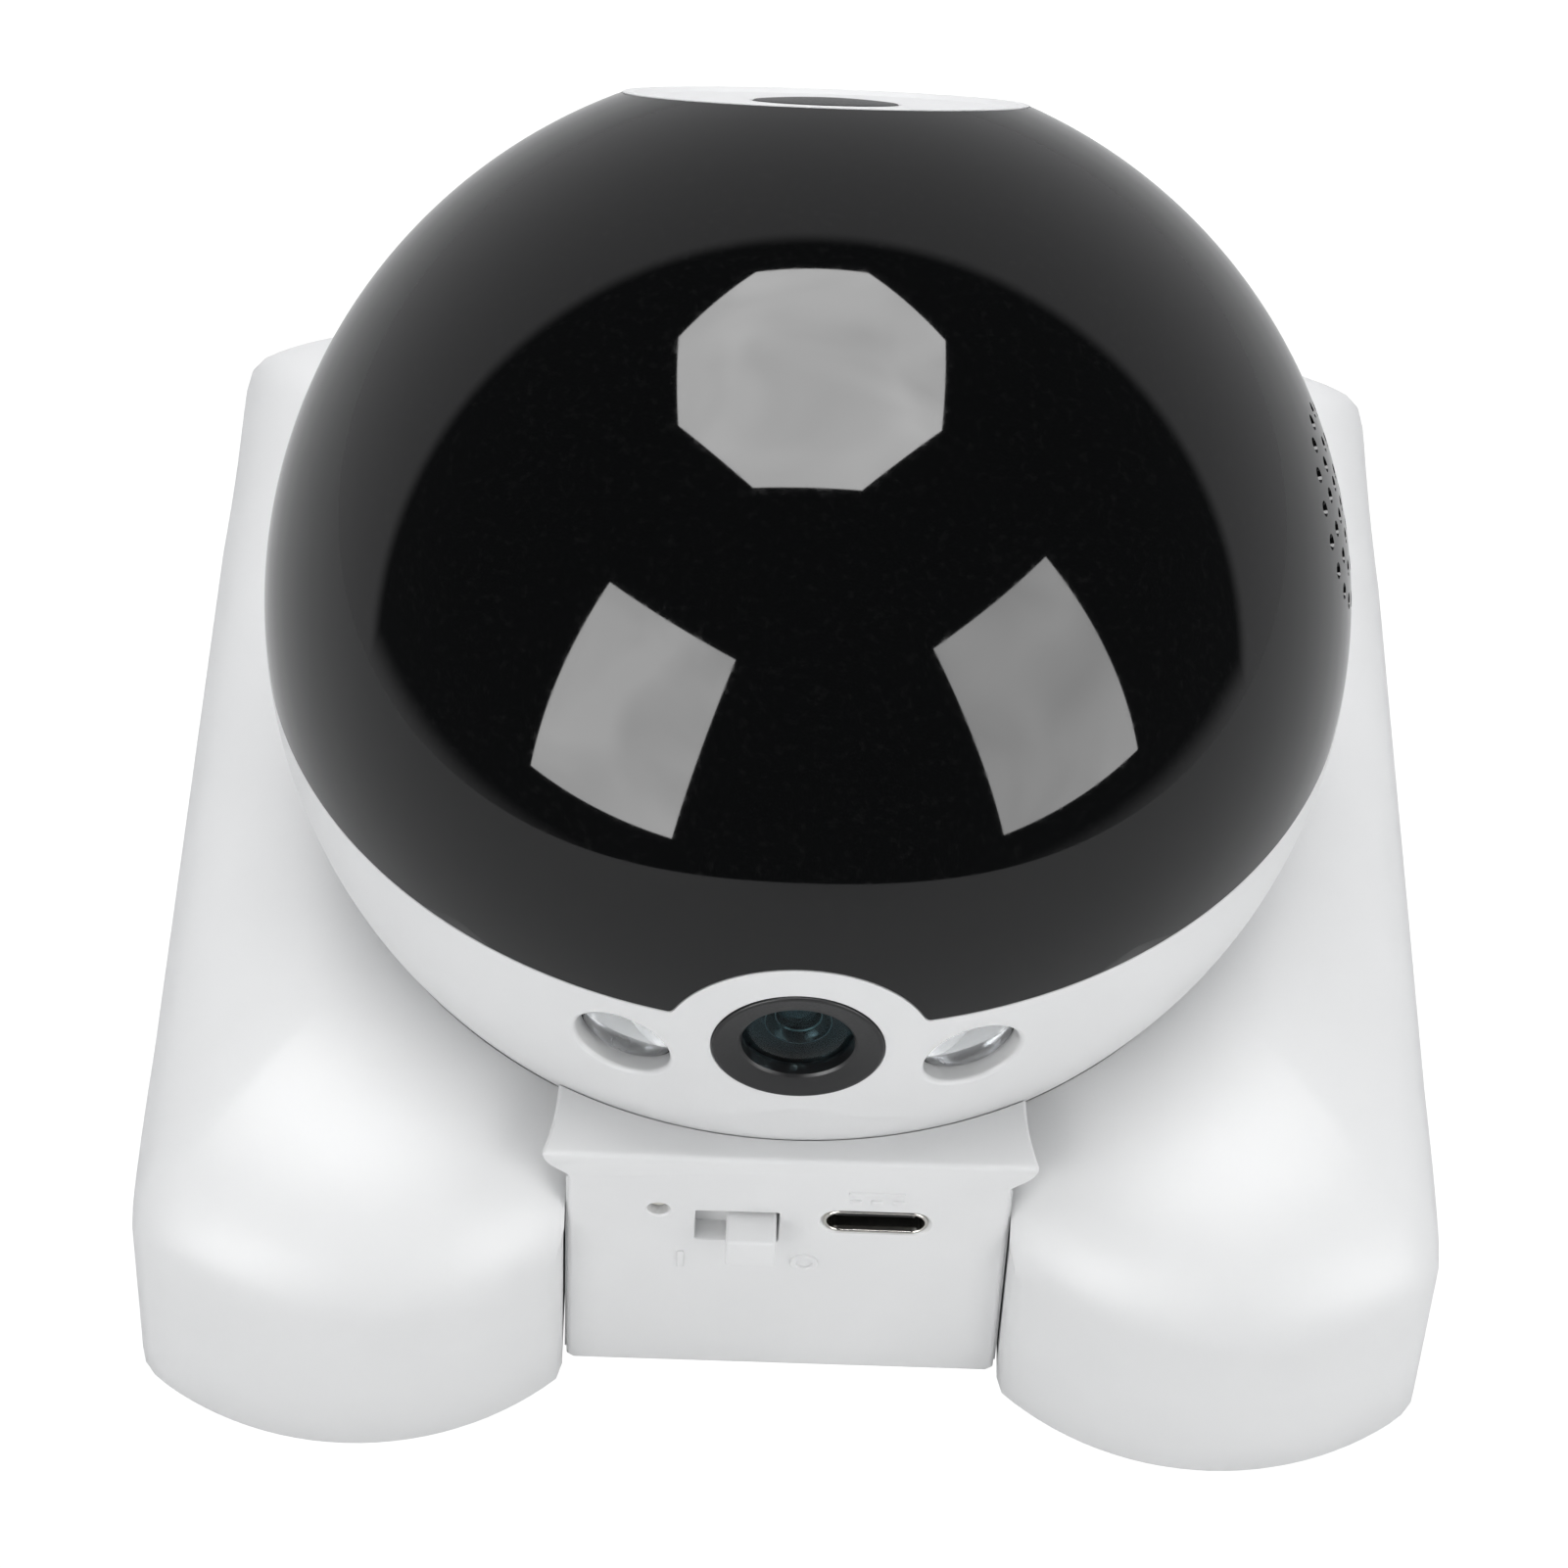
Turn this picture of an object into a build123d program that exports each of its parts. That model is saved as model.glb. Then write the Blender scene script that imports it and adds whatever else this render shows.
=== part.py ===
from build123d import *
import math
import os

os.makedirs("parts", exist_ok=True)

# Security camera: a turning ball head on a base with two long rounded feet.
# Millimetres. +Z is up, the camera looks along -Y, and the origin is on the
# floor directly under the centre of the ball.

# ---------------------------------------------------------------- ball head
ball_radius = 46.3
ball_centre_z = 52.1
head_wall = 2.2
head_floor_z = 27.6            # flat underside of the head
split_tilt = 7.66              # white/black joint rises towards the lens
split_drop = 2.85              # joint plane below the ball centre
brow_radius = 10.0             # white brow that rises round the lens

# ------------------------------------------------- back flat and call button
flat_angle = 45.0              # elevation of the back flat's outward normal
flat_depth = 42.95             # ball centre to the flat's rim
flat_recess = 0.5
back_disc_radius = 16.5
back_disc_thickness = 1.5
call_button_radius = 6.25
call_button_travel = 0.6
call_button_gap = 0.1

# --------------------------------------------------------------------- lens
lens_ring_radius = 7.08
lens_ring_depth = 3.2
lens_opening_radius = 4.65
lens_thread_radius = 6.0
lens_barrel_length = 13.0
lens_dome_radius = 7.5
sensor_board_size = 19.0

# ---------------------------------------------------------------- spot lamps
lamp_azimuth = 18.3
lamp_elevation = -4.4
lamp_bore_radius = 4.15
lamp_lens_radius = 3.95
lamp_recess = 2.4
lamp_tube_wall = 1.2
lamp_cup_length = 4.0

# ------------------------------------------------------------------- speaker
speaker_azimuth = 3.9          # from +X towards the rear
speaker_elevation = 15.5
speaker_hole_radius = 0.675
speaker_ring_pitch = 2.77
speaker_ring_counts = [1, 6, 12, 18]
speaker_radius = 10.0
speaker_depth = 5.0

# ---------------------------------------------------------------------- base
block_half_width = 18.7
block_top_z = 33.0
block_lip = 1.46               # rim between the socket and the front panel
block_wall = 2.0
flare_width = 2.2
flare_height = 1.8
socket_gap = 0.7               # air between the ball and its socket
socket_wall = 1.2
shell_bottom_z = 0.6
foot_width = 37.3
foot_overhang = 9.5            # foot nose ahead of the front panel
foot_nose_radius = 26.3
foot_corner_radius = 6.0
foot_taper = 2.2               # outer side wall leans in towards the rear
foot_wall_top_z = 20.0
foot_top_z = 32.0
foot_crown_power = 2.1
foot_wall = 2.0
part_gap = 0.2                 # parting gap between the block and each foot
plate_bottom_z = 0.8
plate_thickness = 2.0
pad_radius = 5.0

# --------------------------------------------------------- front panel parts
port_x = 7.47
port_z = 24.0
port_width = 8.94
port_height = 3.2
port_depth = 7.0
port_sheet = 0.3
tongue_width = 6.7
tongue_thickness = 0.7
knob_x = -3.075
knob_z = 22.8
knob_width = 4.25
knob_height = 3.6
knob_stand_out = 2.9
knob_travel = 2.4
knob_side_gap = 0.25
window_height = 4.5
pinhole_x = -11.0
pinhole_z = 25.0
pinhole_radius = 0.95
reset_travel = 0.3
mark_height = 0.25
board_thickness = 1.6

# ------------------------------------------------------------- pan mechanism
gear_module = 0.8
gear_teeth = 36
pinion_teeth = 12
gear_width = 4.0
gear_top_z = 19.5
pressure_angle = 25.0
hub_radius = 9.0
hub_bore_radius = 6.5
bush_wall = 2.0
running_gap = 0.05
boss_wall = 2.0
motor_radius = 10.0
motor_offset = 6.0
motor_top_z = 13.0
motor_shaft_radius = 1.5

# -------------------------------------------------------------------- cells
cell_radius = 9.15
cell_length = 65.0
cell_z = 12.2
cell_centre_y = -8.0
contact_thickness = 0.5

# -------------------------------------------------------------- worked out
ball_centre = (0, 0, ball_centre_z)
socket_radius = ball_radius + socket_gap
socket_outer = socket_radius + socket_wall
deck_top_z = head_floor_z - 0.6
deck_bottom_z = deck_top_z - socket_wall
rim_drop = ball_centre_z - block_top_z
panel_y = math.sqrt(socket_radius ** 2 - rim_drop ** 2) + block_lip
plate_top_z = plate_bottom_z + plate_thickness
foot_inner_x = block_half_width + part_gap
foot_outer_x = foot_inner_x + foot_width
foot_axis_x = foot_inner_x + foot_width / 2
foot_nose_y = panel_y + foot_overhang
foot_arc_y = foot_nose_y - foot_nose_radius
gear_radius = gear_module * gear_teeth / 2
pinion_radius = gear_module * pinion_teeth / 2
motor_axis_y = gear_radius + pinion_radius
HUGE = 300                     # reach of a cutting solid
UNDER = -10                    # start of a cut that is open below the floor


def save(shape, node):
    export_step(shape, f"parts/{node}.step")


def direction(azimuth, elevation):
    """Unit vector; azimuth turns from the front (-Y) towards +X."""
    a = math.radians(azimuth)
    e = math.radians(elevation)
    return Vector(math.sin(a) * math.cos(e), -math.cos(a) * math.cos(e), math.sin(e))


def radial_plane(axis):
    """Plane through the ball centre whose normal is a direction out of the ball."""
    return Plane(origin=ball_centre, z_dir=axis)


def drum(plane, radius, low, high):
    """Cylinder along a plane's normal, from height low to height high."""
    return extrude(plane.offset(low) * Circle(radius), amount=high - low)


def pipe(plane, outer, inner, low, high):
    """Tube along a plane's normal."""
    return drum(plane, outer, low, high) - drum(plane, inner, low - 0.01, high + 0.01)


def brick(x0, x1, y0, y1, z0, z1):
    """Box between two corners."""
    centre = Pos((x0 + x1) / 2, (y0 + y1) / 2, (z0 + z1) / 2)
    return centre * Box(x1 - x0, y1 - y0, z1 - z0)


def ball(radius):
    return Pos(*ball_centre) * Sphere(radius)


def shifted(plane, x, y):
    """The same plane with its origin moved in its own x and y."""
    return Plane(plane.location * Pos(x, y, 0))


def above(z):
    return brick(-HUGE, HUGE, -HUGE, HUGE, z, z + HUGE)


def group(solids):
    return Compound(children=list(solids))


floor = Plane.XY
lens_plane = radial_plane(direction(0, 0))
flat_plane = radial_plane(direction(180, flat_angle))
speaker_plane = radial_plane(direction(90 + speaker_azimuth, speaker_elevation))
lamp_planes = {"left": radial_plane(direction(-lamp_azimuth, lamp_elevation)),
               "right": radial_plane(direction(lamp_azimuth, lamp_elevation))}
panel = Plane(origin=(0, -panel_y, 0), x_dir=(1, 0, 0), z_dir=(0, -1, 0))


# ---------------------------------------------------------------- head shells
def below_split():
    """Everything under the tilted joint plane, plus the brow round the lens."""
    slab = Pos(*ball_centre) * Rot(-split_tilt, 0, 0) * Pos(0, 0, -split_drop - HUGE / 2) \
        * Box(HUGE, HUGE, HUGE)
    brow = drum(lens_plane, brow_radius, ball_radius / 2, ball_radius + 5)
    return slab + brow


def head_skin():
    """Truncated hollow ball with a flat floor."""
    outer = ball(ball_radius) & above(head_floor_z)
    inner = ball(ball_radius - head_wall) & above(head_floor_z + head_wall)
    return outer - inner


frame_z = ball_centre_z - 12.1          # underside of the internal frame
post_spots = [(sx * ball_radius * 0.55, sy * ball_radius * 0.42) for sx in (-1, 1) for sy in (-1, 1)]
lamp_tube_radius = lamp_bore_radius + lamp_tube_wall
lamp_tube_end = ball_radius - lamp_recess - lamp_cup_length - 2.2
lens_tube_radius = lens_ring_radius + 1.8
hub_flange_radius = hub_radius + 5.0
hub_screw_circle = hub_radius + 2.5


def lower_shell():
    """White lower half: floor, brow, lens tube, lamp tubes and frame posts."""
    shell = head_skin() & below_split()
    solid_ball = ball(ball_radius) & below_split() & above(head_floor_z)
    shell += drum(lens_plane, lens_tube_radius, ball_radius - 7.5, HUGE) & solid_ball
    for plane in lamp_planes.values():
        shell += drum(plane, lamp_tube_radius, lamp_tube_end, HUGE) & solid_ball
    for x, y in post_spots:
        shell += Pos(x, y, 0) * drum(floor, 3.2, head_floor_z + 0.5, frame_z)
    shell -= drum(lens_plane, lens_ring_radius, ball_radius - 20, HUGE)
    for plane in lamp_planes.values():
        shell -= drum(plane, lamp_bore_radius, lamp_tube_end - 5, HUGE)
    for x, y in post_spots:
        shell -= Pos(x, y, 0) * drum(floor, 1.1, frame_z - 8, frame_z + 1)
    shell -= drum(floor, hub_radius, head_floor_z - 1, head_floor_z + head_wall + 1)
    for spot in PolarLocations(hub_screw_circle, 3):
        shell -= spot * drum(floor, 1.0, head_floor_z + 0.4, head_floor_z + head_wall + 1)
    return shell


def speaker_spots():
    """Rings of holes round the centre of the grille."""
    spots = []
    for ring, count in enumerate(speaker_ring_counts):
        for i in range(count):
            turn = 2 * math.pi * (i + 0.5 * (ring % 2)) / count
            reach = ring * speaker_ring_pitch
            spots.append((reach * math.cos(turn), reach * math.sin(turn)))
    return spots


disc_top = flat_depth - flat_recess
disc_bottom = disc_top - back_disc_thickness
shelf_depth = disc_bottom - 2.0


def top_dome():
    """Black upper half with the flat seat at the back and the speaker grille."""
    dome = head_skin() - below_split()
    seat = drum(flat_plane, back_disc_radius + 1.5, shelf_depth, flat_depth)
    dome += seat & ball(ball_radius)
    dome -= drum(flat_plane, back_disc_radius - 3.0, shelf_depth - 8, HUGE)
    dome -= drum(flat_plane, back_disc_radius, disc_bottom, HUGE)
    dome -= drum(flat_plane, ball_radius, flat_depth, HUGE)
    holes = [drum(shifted(speaker_plane, x, y), speaker_hole_radius, ball_radius - 12, ball_radius + 2)
             for x, y in speaker_spots()]
    return dome - holes


def back_disc():
    """White disc in the flat, with a hole for the call button and two board posts."""
    disc = pipe(flat_plane, back_disc_radius, call_button_radius + call_button_gap,
                disc_bottom, disc_top)
    for side in (-1, 1):
        disc += drum(shifted(flat_plane, side * 9.5, 0), 1.6, button_board_top, disc_bottom)
    return disc


button_flange = 1.2
button_flange_top = disc_bottom - 0.3
button_bottom = button_flange_top - 0.9
tact_top = button_bottom - call_button_travel - 0.1
tact_height = 1.8
button_board_top = tact_top - tact_height


def call_button():
    """Black push button with a low crown and a flange that keeps it in the disc."""
    crown_radius = 60.0
    cap = drum(flat_plane, call_button_radius, button_bottom, flat_depth + 1)
    sag_centre = flat_plane.offset(flat_depth + 0.15 - crown_radius).origin
    cap = cap & (Pos(*tuple(sag_centre)) * Sphere(crown_radius))
    return cap + drum(flat_plane, call_button_radius + button_flange, button_bottom, button_flange_top)


def button_board():
    """Round circuit board with the call switch on it."""
    board = drum(flat_plane, 11.5, button_board_top - 1.0, button_board_top)
    body = extrude(flat_plane.offset(button_board_top) * Rectangle(5, 5), amount=tact_height - 0.6)
    stem = drum(flat_plane, 1.4, button_board_top + tact_height - 0.6, tact_top)
    return board + body + stem


# ------------------------------------------------------------ lens and sensor
lens_front = math.sqrt(ball_radius ** 2 - lens_ring_radius ** 2) + 0.15
lens_ring_back = lens_front - lens_ring_depth
barrel_back = lens_ring_back - lens_barrel_length
holder_back = barrel_back - 1.5


def lens_ring():
    """Black ring round the lens: a stepped face and a cone down to the glass."""
    ring = pipe(lens_plane, lens_ring_radius, lens_opening_radius - 0.4, lens_ring_back, lens_front)
    step = drum(lens_plane, lens_ring_radius - 1.0, lens_front - 0.25, lens_front + 1)
    mouth = loft([lens_plane.offset(lens_front - 0.25) * Circle(lens_opening_radius + 0.5),
                  lens_plane.offset(lens_ring_back + 1.2) * Circle(lens_opening_radius - 0.2)])
    return ring - step - mouth


def lens_barrel():
    """Threaded metal tube that carries the lens elements."""
    tube = pipe(lens_plane, lens_thread_radius, lens_thread_radius - 1.2, barrel_back, lens_ring_back)
    return tube + drum(lens_plane, lens_thread_radius, barrel_back, barrel_back + 1.0)


def lens_glass():
    """Front element: a plano-convex dome that fills the barrel's mouth."""
    radius = lens_thread_radius - 1.2
    front = lens_ring_back + 1.0
    body = drum(lens_plane, radius - 0.6, lens_ring_back - 3.5, front)
    centre = lens_plane.offset(front - lens_dome_radius).origin
    return body & (Pos(*tuple(centre)) * Sphere(lens_dome_radius))


def lens_rear_glass():
    """Rear element, held near the sensor end of the barrel."""
    return drum(lens_plane, lens_thread_radius - 1.2, barrel_back + 4.0, barrel_back + 6.5)


def lens_holder():
    """Square plastic mount that the barrel screws into."""
    depth = lens_barrel_length - 4.0
    block = extrude(lens_plane.offset(holder_back) * RectangleRounded(14.5, 14.5, 1.0), amount=depth)
    block -= drum(lens_plane, lens_thread_radius, barrel_back, HUGE)
    return block - drum(lens_plane, lens_thread_radius - 1.0, holder_back - 1, barrel_back + 1)


def sensor_board():
    """Square board behind the lens, with the image sensor on its face."""
    board = extrude(lens_plane.offset(holder_back - board_thickness)
                    * Rectangle(sensor_board_size, sensor_board_size), amount=board_thickness)
    return board + extrude(lens_plane.offset(holder_back) * Rectangle(7, 7), amount=1.0)


# ----------------------------------------------------------------- spot lamps
lamp_lens_top = ball_radius - lamp_recess
lamp_cup_top = lamp_lens_top - 1.5
lamp_cup_bottom = lamp_cup_top - lamp_cup_length


def lamp_lens(side):
    """Clear domed lens, recessed in its bore."""
    disc = drum(lamp_planes[side], lamp_lens_radius, lamp_cup_top, lamp_lens_top)
    centre = lamp_planes[side].offset(lamp_lens_top - 7.0).origin
    return disc & (Pos(*tuple(centre)) * Sphere(7.0))


def lamp_cup(side):
    """Reflector cup behind the lens."""
    plane = lamp_planes[side]
    hollow = loft([plane.offset(lamp_cup_top) * Circle(lamp_lens_radius - 0.35),
                   plane.offset(lamp_cup_bottom + 0.5) * Circle(1.6)])
    cup = drum(plane, lamp_lens_radius, lamp_cup_bottom, lamp_cup_top) - hollow
    return cup - drum(plane, 1.6, lamp_cup_bottom - 1, lamp_cup_bottom + 1)


def lamp_board(side):
    """Round aluminium board with one light-emitting diode."""
    plane = lamp_planes[side]
    board = drum(plane, lamp_lens_radius, lamp_cup_bottom - 1.2, lamp_cup_bottom)
    return board + extrude(plane.offset(lamp_cup_bottom) * Rectangle(2.0, 2.0), amount=0.8)


# ------------------------------------------------- frame, boards and speaker
frame_thickness = 2.0
frame_radius = math.sqrt((ball_radius - head_wall) ** 2 - (ball_centre_z - frame_z) ** 2) - 1.0
board_z = frame_z + frame_thickness + 2.5


def head_frame():
    """Plate on the four posts, with standoffs for the main board."""
    plate = drum(floor, frame_radius, frame_z, frame_z + frame_thickness)
    plate -= brick(-16, 16, -HUGE, -ball_radius * 0.33, frame_z - 1, frame_z + frame_thickness + 1)
    plate -= drum(floor, hub_bore_radius + 2, frame_z - 1, frame_z + frame_thickness + 1)
    for x in (-22, 22):
        for y in (-6, 26):
            plate += Pos(x, y, 0) * drum(floor, 2.2, frame_z + frame_thickness, board_z)
    for x, y in post_spots:
        plate -= Pos(x, y, 0) * drum(floor, 1.1, frame_z - 1, frame_z + frame_thickness + 1)
    return plate


def head_screws():
    """Four screws that hold the frame on the lower shell's posts."""
    screws = []
    for x, y in post_spots:
        shank = drum(floor, 1.1, frame_z - 6, frame_z + frame_thickness)
        head = drum(floor, 2.1, frame_z + frame_thickness, frame_z + frame_thickness + 1.4)
        screws.append(Pos(x, y, 0) * (shank + head))
    return group(screws)


def main_board():
    """Main circuit board with processor, memory and connectors on top."""
    top = board_z + board_thickness
    board = brick(-25, 25, -9, 29, board_z, top)
    board += brick(-7, 7, 4, 18, top, top + 1.4)
    board += brick(-20, -12, 6, 16, top, top + 1.1)
    board += brick(12, 20, -4, 2, top, top + 5.0)
    board += brick(-21, -9, -6, -1, top, top + 4.0)
    return board


def wifi_antenna():
    """Printed antenna strip that stands on the board's rear edge."""
    top = board_z + board_thickness
    return brick(-18, 18, 25, 26, top, top + 8.0)


def microphone():
    """Small round microphone on the board's front edge."""
    top = board_z + board_thickness
    return Pos(3, -5, 0) * drum(floor, 3.0, top, top + 2.2)


speaker_front = math.sqrt((ball_radius - head_wall - 0.3) ** 2 - (speaker_radius + 1.0) ** 2)


def speaker():
    """Round loudspeaker: basket, magnet and cone recess."""
    back = speaker_front - speaker_depth
    body = drum(speaker_plane, speaker_radius, back + 2.2, speaker_front - 0.8)
    body += drum(speaker_plane, speaker_radius * 0.6, back, back + 2.2)
    cone = loft([speaker_plane.offset(speaker_front - 0.8) * Circle(speaker_radius - 1.2),
                 speaker_plane.offset(speaker_front - 2.2) * Circle(3.0)])
    return body - cone


def speaker_gasket():
    """Foam ring between the loudspeaker and the shell."""
    return pipe(speaker_plane, speaker_radius + 0.5, speaker_radius - 1.2,
                speaker_front - 0.8, speaker_front)


# ------------------------------------------------------------- pan mechanism
hub_bottom_z = gear_top_z - gear_width - 1.2
bush_radius = hub_radius + running_gap + bush_wall
boss_radius = bush_radius + boss_wall
boss_bottom_z = gear_top_z + 0.5


def gear_outline(teeth, turn):
    """Closed involute outline: flank points from base to tip on both sides of each tooth."""
    pitch = gear_module * teeth / 2
    base = pitch * math.cos(math.radians(pressure_angle))
    tip = pitch + 0.8 * gear_module
    root = pitch - 1.05 * gear_module
    involute = math.tan(math.radians(pressure_angle)) - math.radians(pressure_angle)
    half_tooth = math.pi / (2 * teeth) - 0.06 / pitch
    start = max(base, root)
    flank = []
    for i in range(6):
        r = start + (tip - start) * i / 5
        spread = math.acos(min(1.0, base / r))
        flank.append((r, half_tooth + involute - (math.tan(spread) - spread)))
    points = []
    for n in range(teeth):
        middle = turn + 2 * math.pi * n / teeth
        side = flank if start == root else [(root, flank[0][1])] + flank
        for r, a in side:
            points.append((r * math.cos(middle - a), r * math.sin(middle - a)))
        for r, a in reversed(side):
            points.append((r * math.cos(middle + a), r * math.sin(middle + a)))
    return make_face(Polyline(*points, close=True))


def pan_gear():
    """Large gear on the hub's lower end."""
    z0 = gear_top_z - gear_width
    gear = extrude(Plane.XY.offset(z0) * gear_outline(gear_teeth, math.pi / 2), amount=gear_width)
    return gear - drum(floor, hub_radius, z0 - 1, gear_top_z + 1)


def motor_pinion():
    """Small gear on the motor shaft, its gap facing the large gear's tooth."""
    z0 = gear_top_z - gear_width - 0.2
    turn = -math.pi / 2 + math.pi / pinion_teeth
    pinion = extrude(Plane.XY.offset(z0) * gear_outline(pinion_teeth, turn), amount=gear_width + 0.4)
    pinion -= drum(floor, motor_shaft_radius + running_gap, z0 - 1, z0 + gear_width + 2)
    return Pos(0, motor_axis_y, 0) * pinion


def pan_motor():
    """Geared stepper motor with an offset shaft and two ears."""
    body_y = motor_axis_y + motor_offset
    motor = Pos(0, body_y, 0) * drum(floor, motor_radius, plate_top_z, motor_top_z)
    ears = brick(-motor_ear_x - 2.6, motor_ear_x + 2.6, body_y - 3, body_y + 3,
                 motor_top_z - 1.0, motor_top_z)
    motor += ears
    motor += Pos(0, motor_axis_y, 0) * drum(floor, 3.2, motor_top_z, motor_top_z + 1.2)
    motor += Pos(0, motor_axis_y, 0) * drum(floor, motor_shaft_radius, motor_top_z, gear_top_z + 0.6)
    for x in (-motor_ear_x, motor_ear_x):
        motor -= Pos(x, body_y, 0) * drum(floor, 1.1, motor_top_z - 2, motor_top_z + 1)
    return motor


motor_ear_x = motor_radius + 2.5


def motor_screws():
    """Two screws through the motor's ears into the plate's posts."""
    body_y = motor_axis_y + motor_offset
    screws = []
    for x in (-motor_ear_x, motor_ear_x):
        shank = drum(floor, 1.1, motor_top_z - 6, motor_top_z)
        screws.append(Pos(x, body_y, 0) * (shank + drum(floor, 2.1, motor_top_z, motor_top_z + 1.3)))
    return group(screws)


def pan_hub():
    """Hollow turning hub: a flange on the head floor and a tube down through the bush."""
    top = head_floor_z + head_wall
    hub = drum(floor, hub_radius, hub_bottom_z, top) + drum(floor, hub_flange_radius, top, top + 1.8)
    hub -= drum(floor, hub_bore_radius, hub_bottom_z - 1, top + 3)
    for spot in PolarLocations(hub_screw_circle, 3):
        hub -= spot * drum(floor, 1.0, top - 1, top + 3)
    return hub


def hub_screws():
    """Three screws that hold the hub's flange down on the head floor."""
    top = head_floor_z + head_wall
    screw = drum(floor, 1.0, top - 1.6, top + 1.8) + drum(floor, 1.6, top + 1.8, top + 2.8)
    return group([spot * screw for spot in PolarLocations(hub_screw_circle, 3)])


def hub_clip():
    """Open spring ring that keeps the gear on the hub."""
    z0 = gear_top_z - gear_width - 0.9
    ring = pipe(floor, hub_radius + 1.6, hub_radius, z0, z0 + 0.9)
    return ring - brick(-1.5, 1.5, -HUGE, 0, z0 - 1, z0 + 2)


def pan_bush():
    """Plain bearing pressed into the block's boss."""
    return pipe(floor, bush_radius, hub_radius + running_gap, boss_bottom_z, deck_top_z)


# ------------------------------------------------------------- base shells
def socket(radius, low):
    """Space of the ball inside the base, down to a flat bottom."""
    return ball(radius) & above(low)


def crown_height(reach, inset):
    """Height of the foot's top at a plan distance from its crest."""
    wide = foot_nose_radius - inset
    rise = foot_top_z - inset - foot_wall_top_z
    share = max(0.0, 1 - (reach / wide) ** foot_crown_power)
    return foot_wall_top_z + rise * share ** (1 / foot_crown_power)


def foot_body(inset, low):
    """One right foot: long crown of constant section with a rounded nose and tail."""
    wide = foot_nose_radius - inset
    reaches = [wide * math.sin(math.pi / 2 * i / 8) for i in range(9)]
    crown = [(r, crown_height(r, inset)) for r in reaches]
    half = make_face(Line((0, low), crown[0]) + Spline(*crown, tangents=[(1, 0), (0, -1)])
                     + Line(crown[-1], (wide, low)) + Line((wide, low), (0, low)))
    nose = Pos(foot_axis_x, -foot_arc_y, 0) * revolve(Plane.XZ * half, Axis.Z, 360)
    tail = Pos(foot_axis_x, foot_arc_y, 0) * revolve(Plane.XZ * half, Axis.Z, 360)
    section = half + mirror(half, Plane.YZ)
    middle = Pos(foot_axis_x, 0, 0) * extrude(Plane.XZ * section, amount=foot_arc_y, both=True)
    crown_solid = middle + nose + tail
    walls = extrude(Plane.XY.offset(low) * foot_plan(inset), amount=foot_top_z + 5 - low)
    return crown_solid & walls & side_round(inset, low)


def side_round(inset, low):
    """Solid whose outer top edge is rounded over, laid along the leaning outer wall."""
    reach = foot_width / 2 - inset
    rise = foot_top_z - inset - foot_wall_top_z
    curve = []
    for i in range(9):
        share = math.sin(math.pi / 2 * i / 8)
        height = (1 - share ** foot_crown_power) ** (1 / foot_crown_power)
        curve.append((reach * (share - 1), foot_wall_top_z + rise * height))
    far = -2 * foot_width
    face = make_face(Spline(*curve, tangents=[(1, 0), (0, -1)]) + Line(curve[-1], (0, low))
                     + Line((0, low), (far, low)) + Line((far, low), (far, curve[0][1]))
                     + Line((far, curve[0][1]), curve[0]))
    solid = extrude(Plane.XZ * face, amount=HUGE, both=True)
    wall_x = foot_outer_x - inset
    return Pos(wall_x, -foot_nose_y + inset, 0) * Rot(0, 0, foot_taper) * solid


def foot_plan(inset):
    """Plan of the right foot: bowed nose and tail, outer wall leaning in to the rear."""
    y = foot_nose_y - inset
    lean = 2 * foot_nose_y * math.tan(math.radians(foot_taper))
    corners = [(foot_inner_x + inset, -y), (foot_outer_x - inset, -y),
               (foot_outer_x - inset - lean, y), (foot_inner_x + inset, y)]
    ends = [Pos(foot_axis_x, side * foot_arc_y, 0) * Circle(foot_nose_radius - inset) for side in (-1, 1)]
    middle = Pos(foot_axis_x, 0, 0) * Rectangle(3 * foot_width, 2 * foot_arc_y)
    outline = make_face(Polyline(*corners, close=True)) & (middle + ends[0] + ends[1])
    outer = outline.vertices().sort_by(Axis.X)[2:].sort_by(Axis.Y)
    outer = [outer[0], outer[-1]]
    return fillet(outer, max(foot_corner_radius - inset, 0.5))


def mirrored(shape, side):
    """The shape as it is on the right, or its mirror image on the left."""
    return shape if side > 0 else mirror(shape, Plane.YZ)


foot_post_spots = [(foot_inner_x + 9.0, -foot_arc_y - 14.5), (foot_axis_x - 4.0, foot_arc_y + 13.5),
                   (foot_inner_x + 6.0, foot_arc_y + 4.0)]
post_radius = 3.0
screw_radius = 1.2
screw_head_radius = 2.4
screw_head_height = 1.2


def foot_shell(side):
    """White foot: crown, side walls and its share of the ball's socket."""
    outer = foot_body(0, shell_bottom_z) - socket(socket_radius, deck_top_z)
    hollow = foot_body(foot_wall, UNDER) - socket(socket_outer, deck_bottom_z)
    shell = outer - hollow
    for x, y in foot_post_spots:
        shell += Pos(x, y, 0) * drum(floor, post_radius, plate_top_z, foot_top_z) & outer
    for x, y in foot_post_spots:
        shell -= Pos(x, y, 0) * drum(floor, screw_radius, UNDER, plate_top_z + 7)
    return mirrored(shell - plate_space(), side)


gear_tip = gear_radius + 0.8 * gear_module
front_post_y = -math.sqrt((gear_tip + post_radius + 0.6) ** 2 - (block_half_width - 5.2) ** 2)
block_post_spots = [(sx * (block_half_width - 5.2), y) for sx in (-1, 1) for y in (front_post_y, panel_y - 6.0)]


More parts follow.
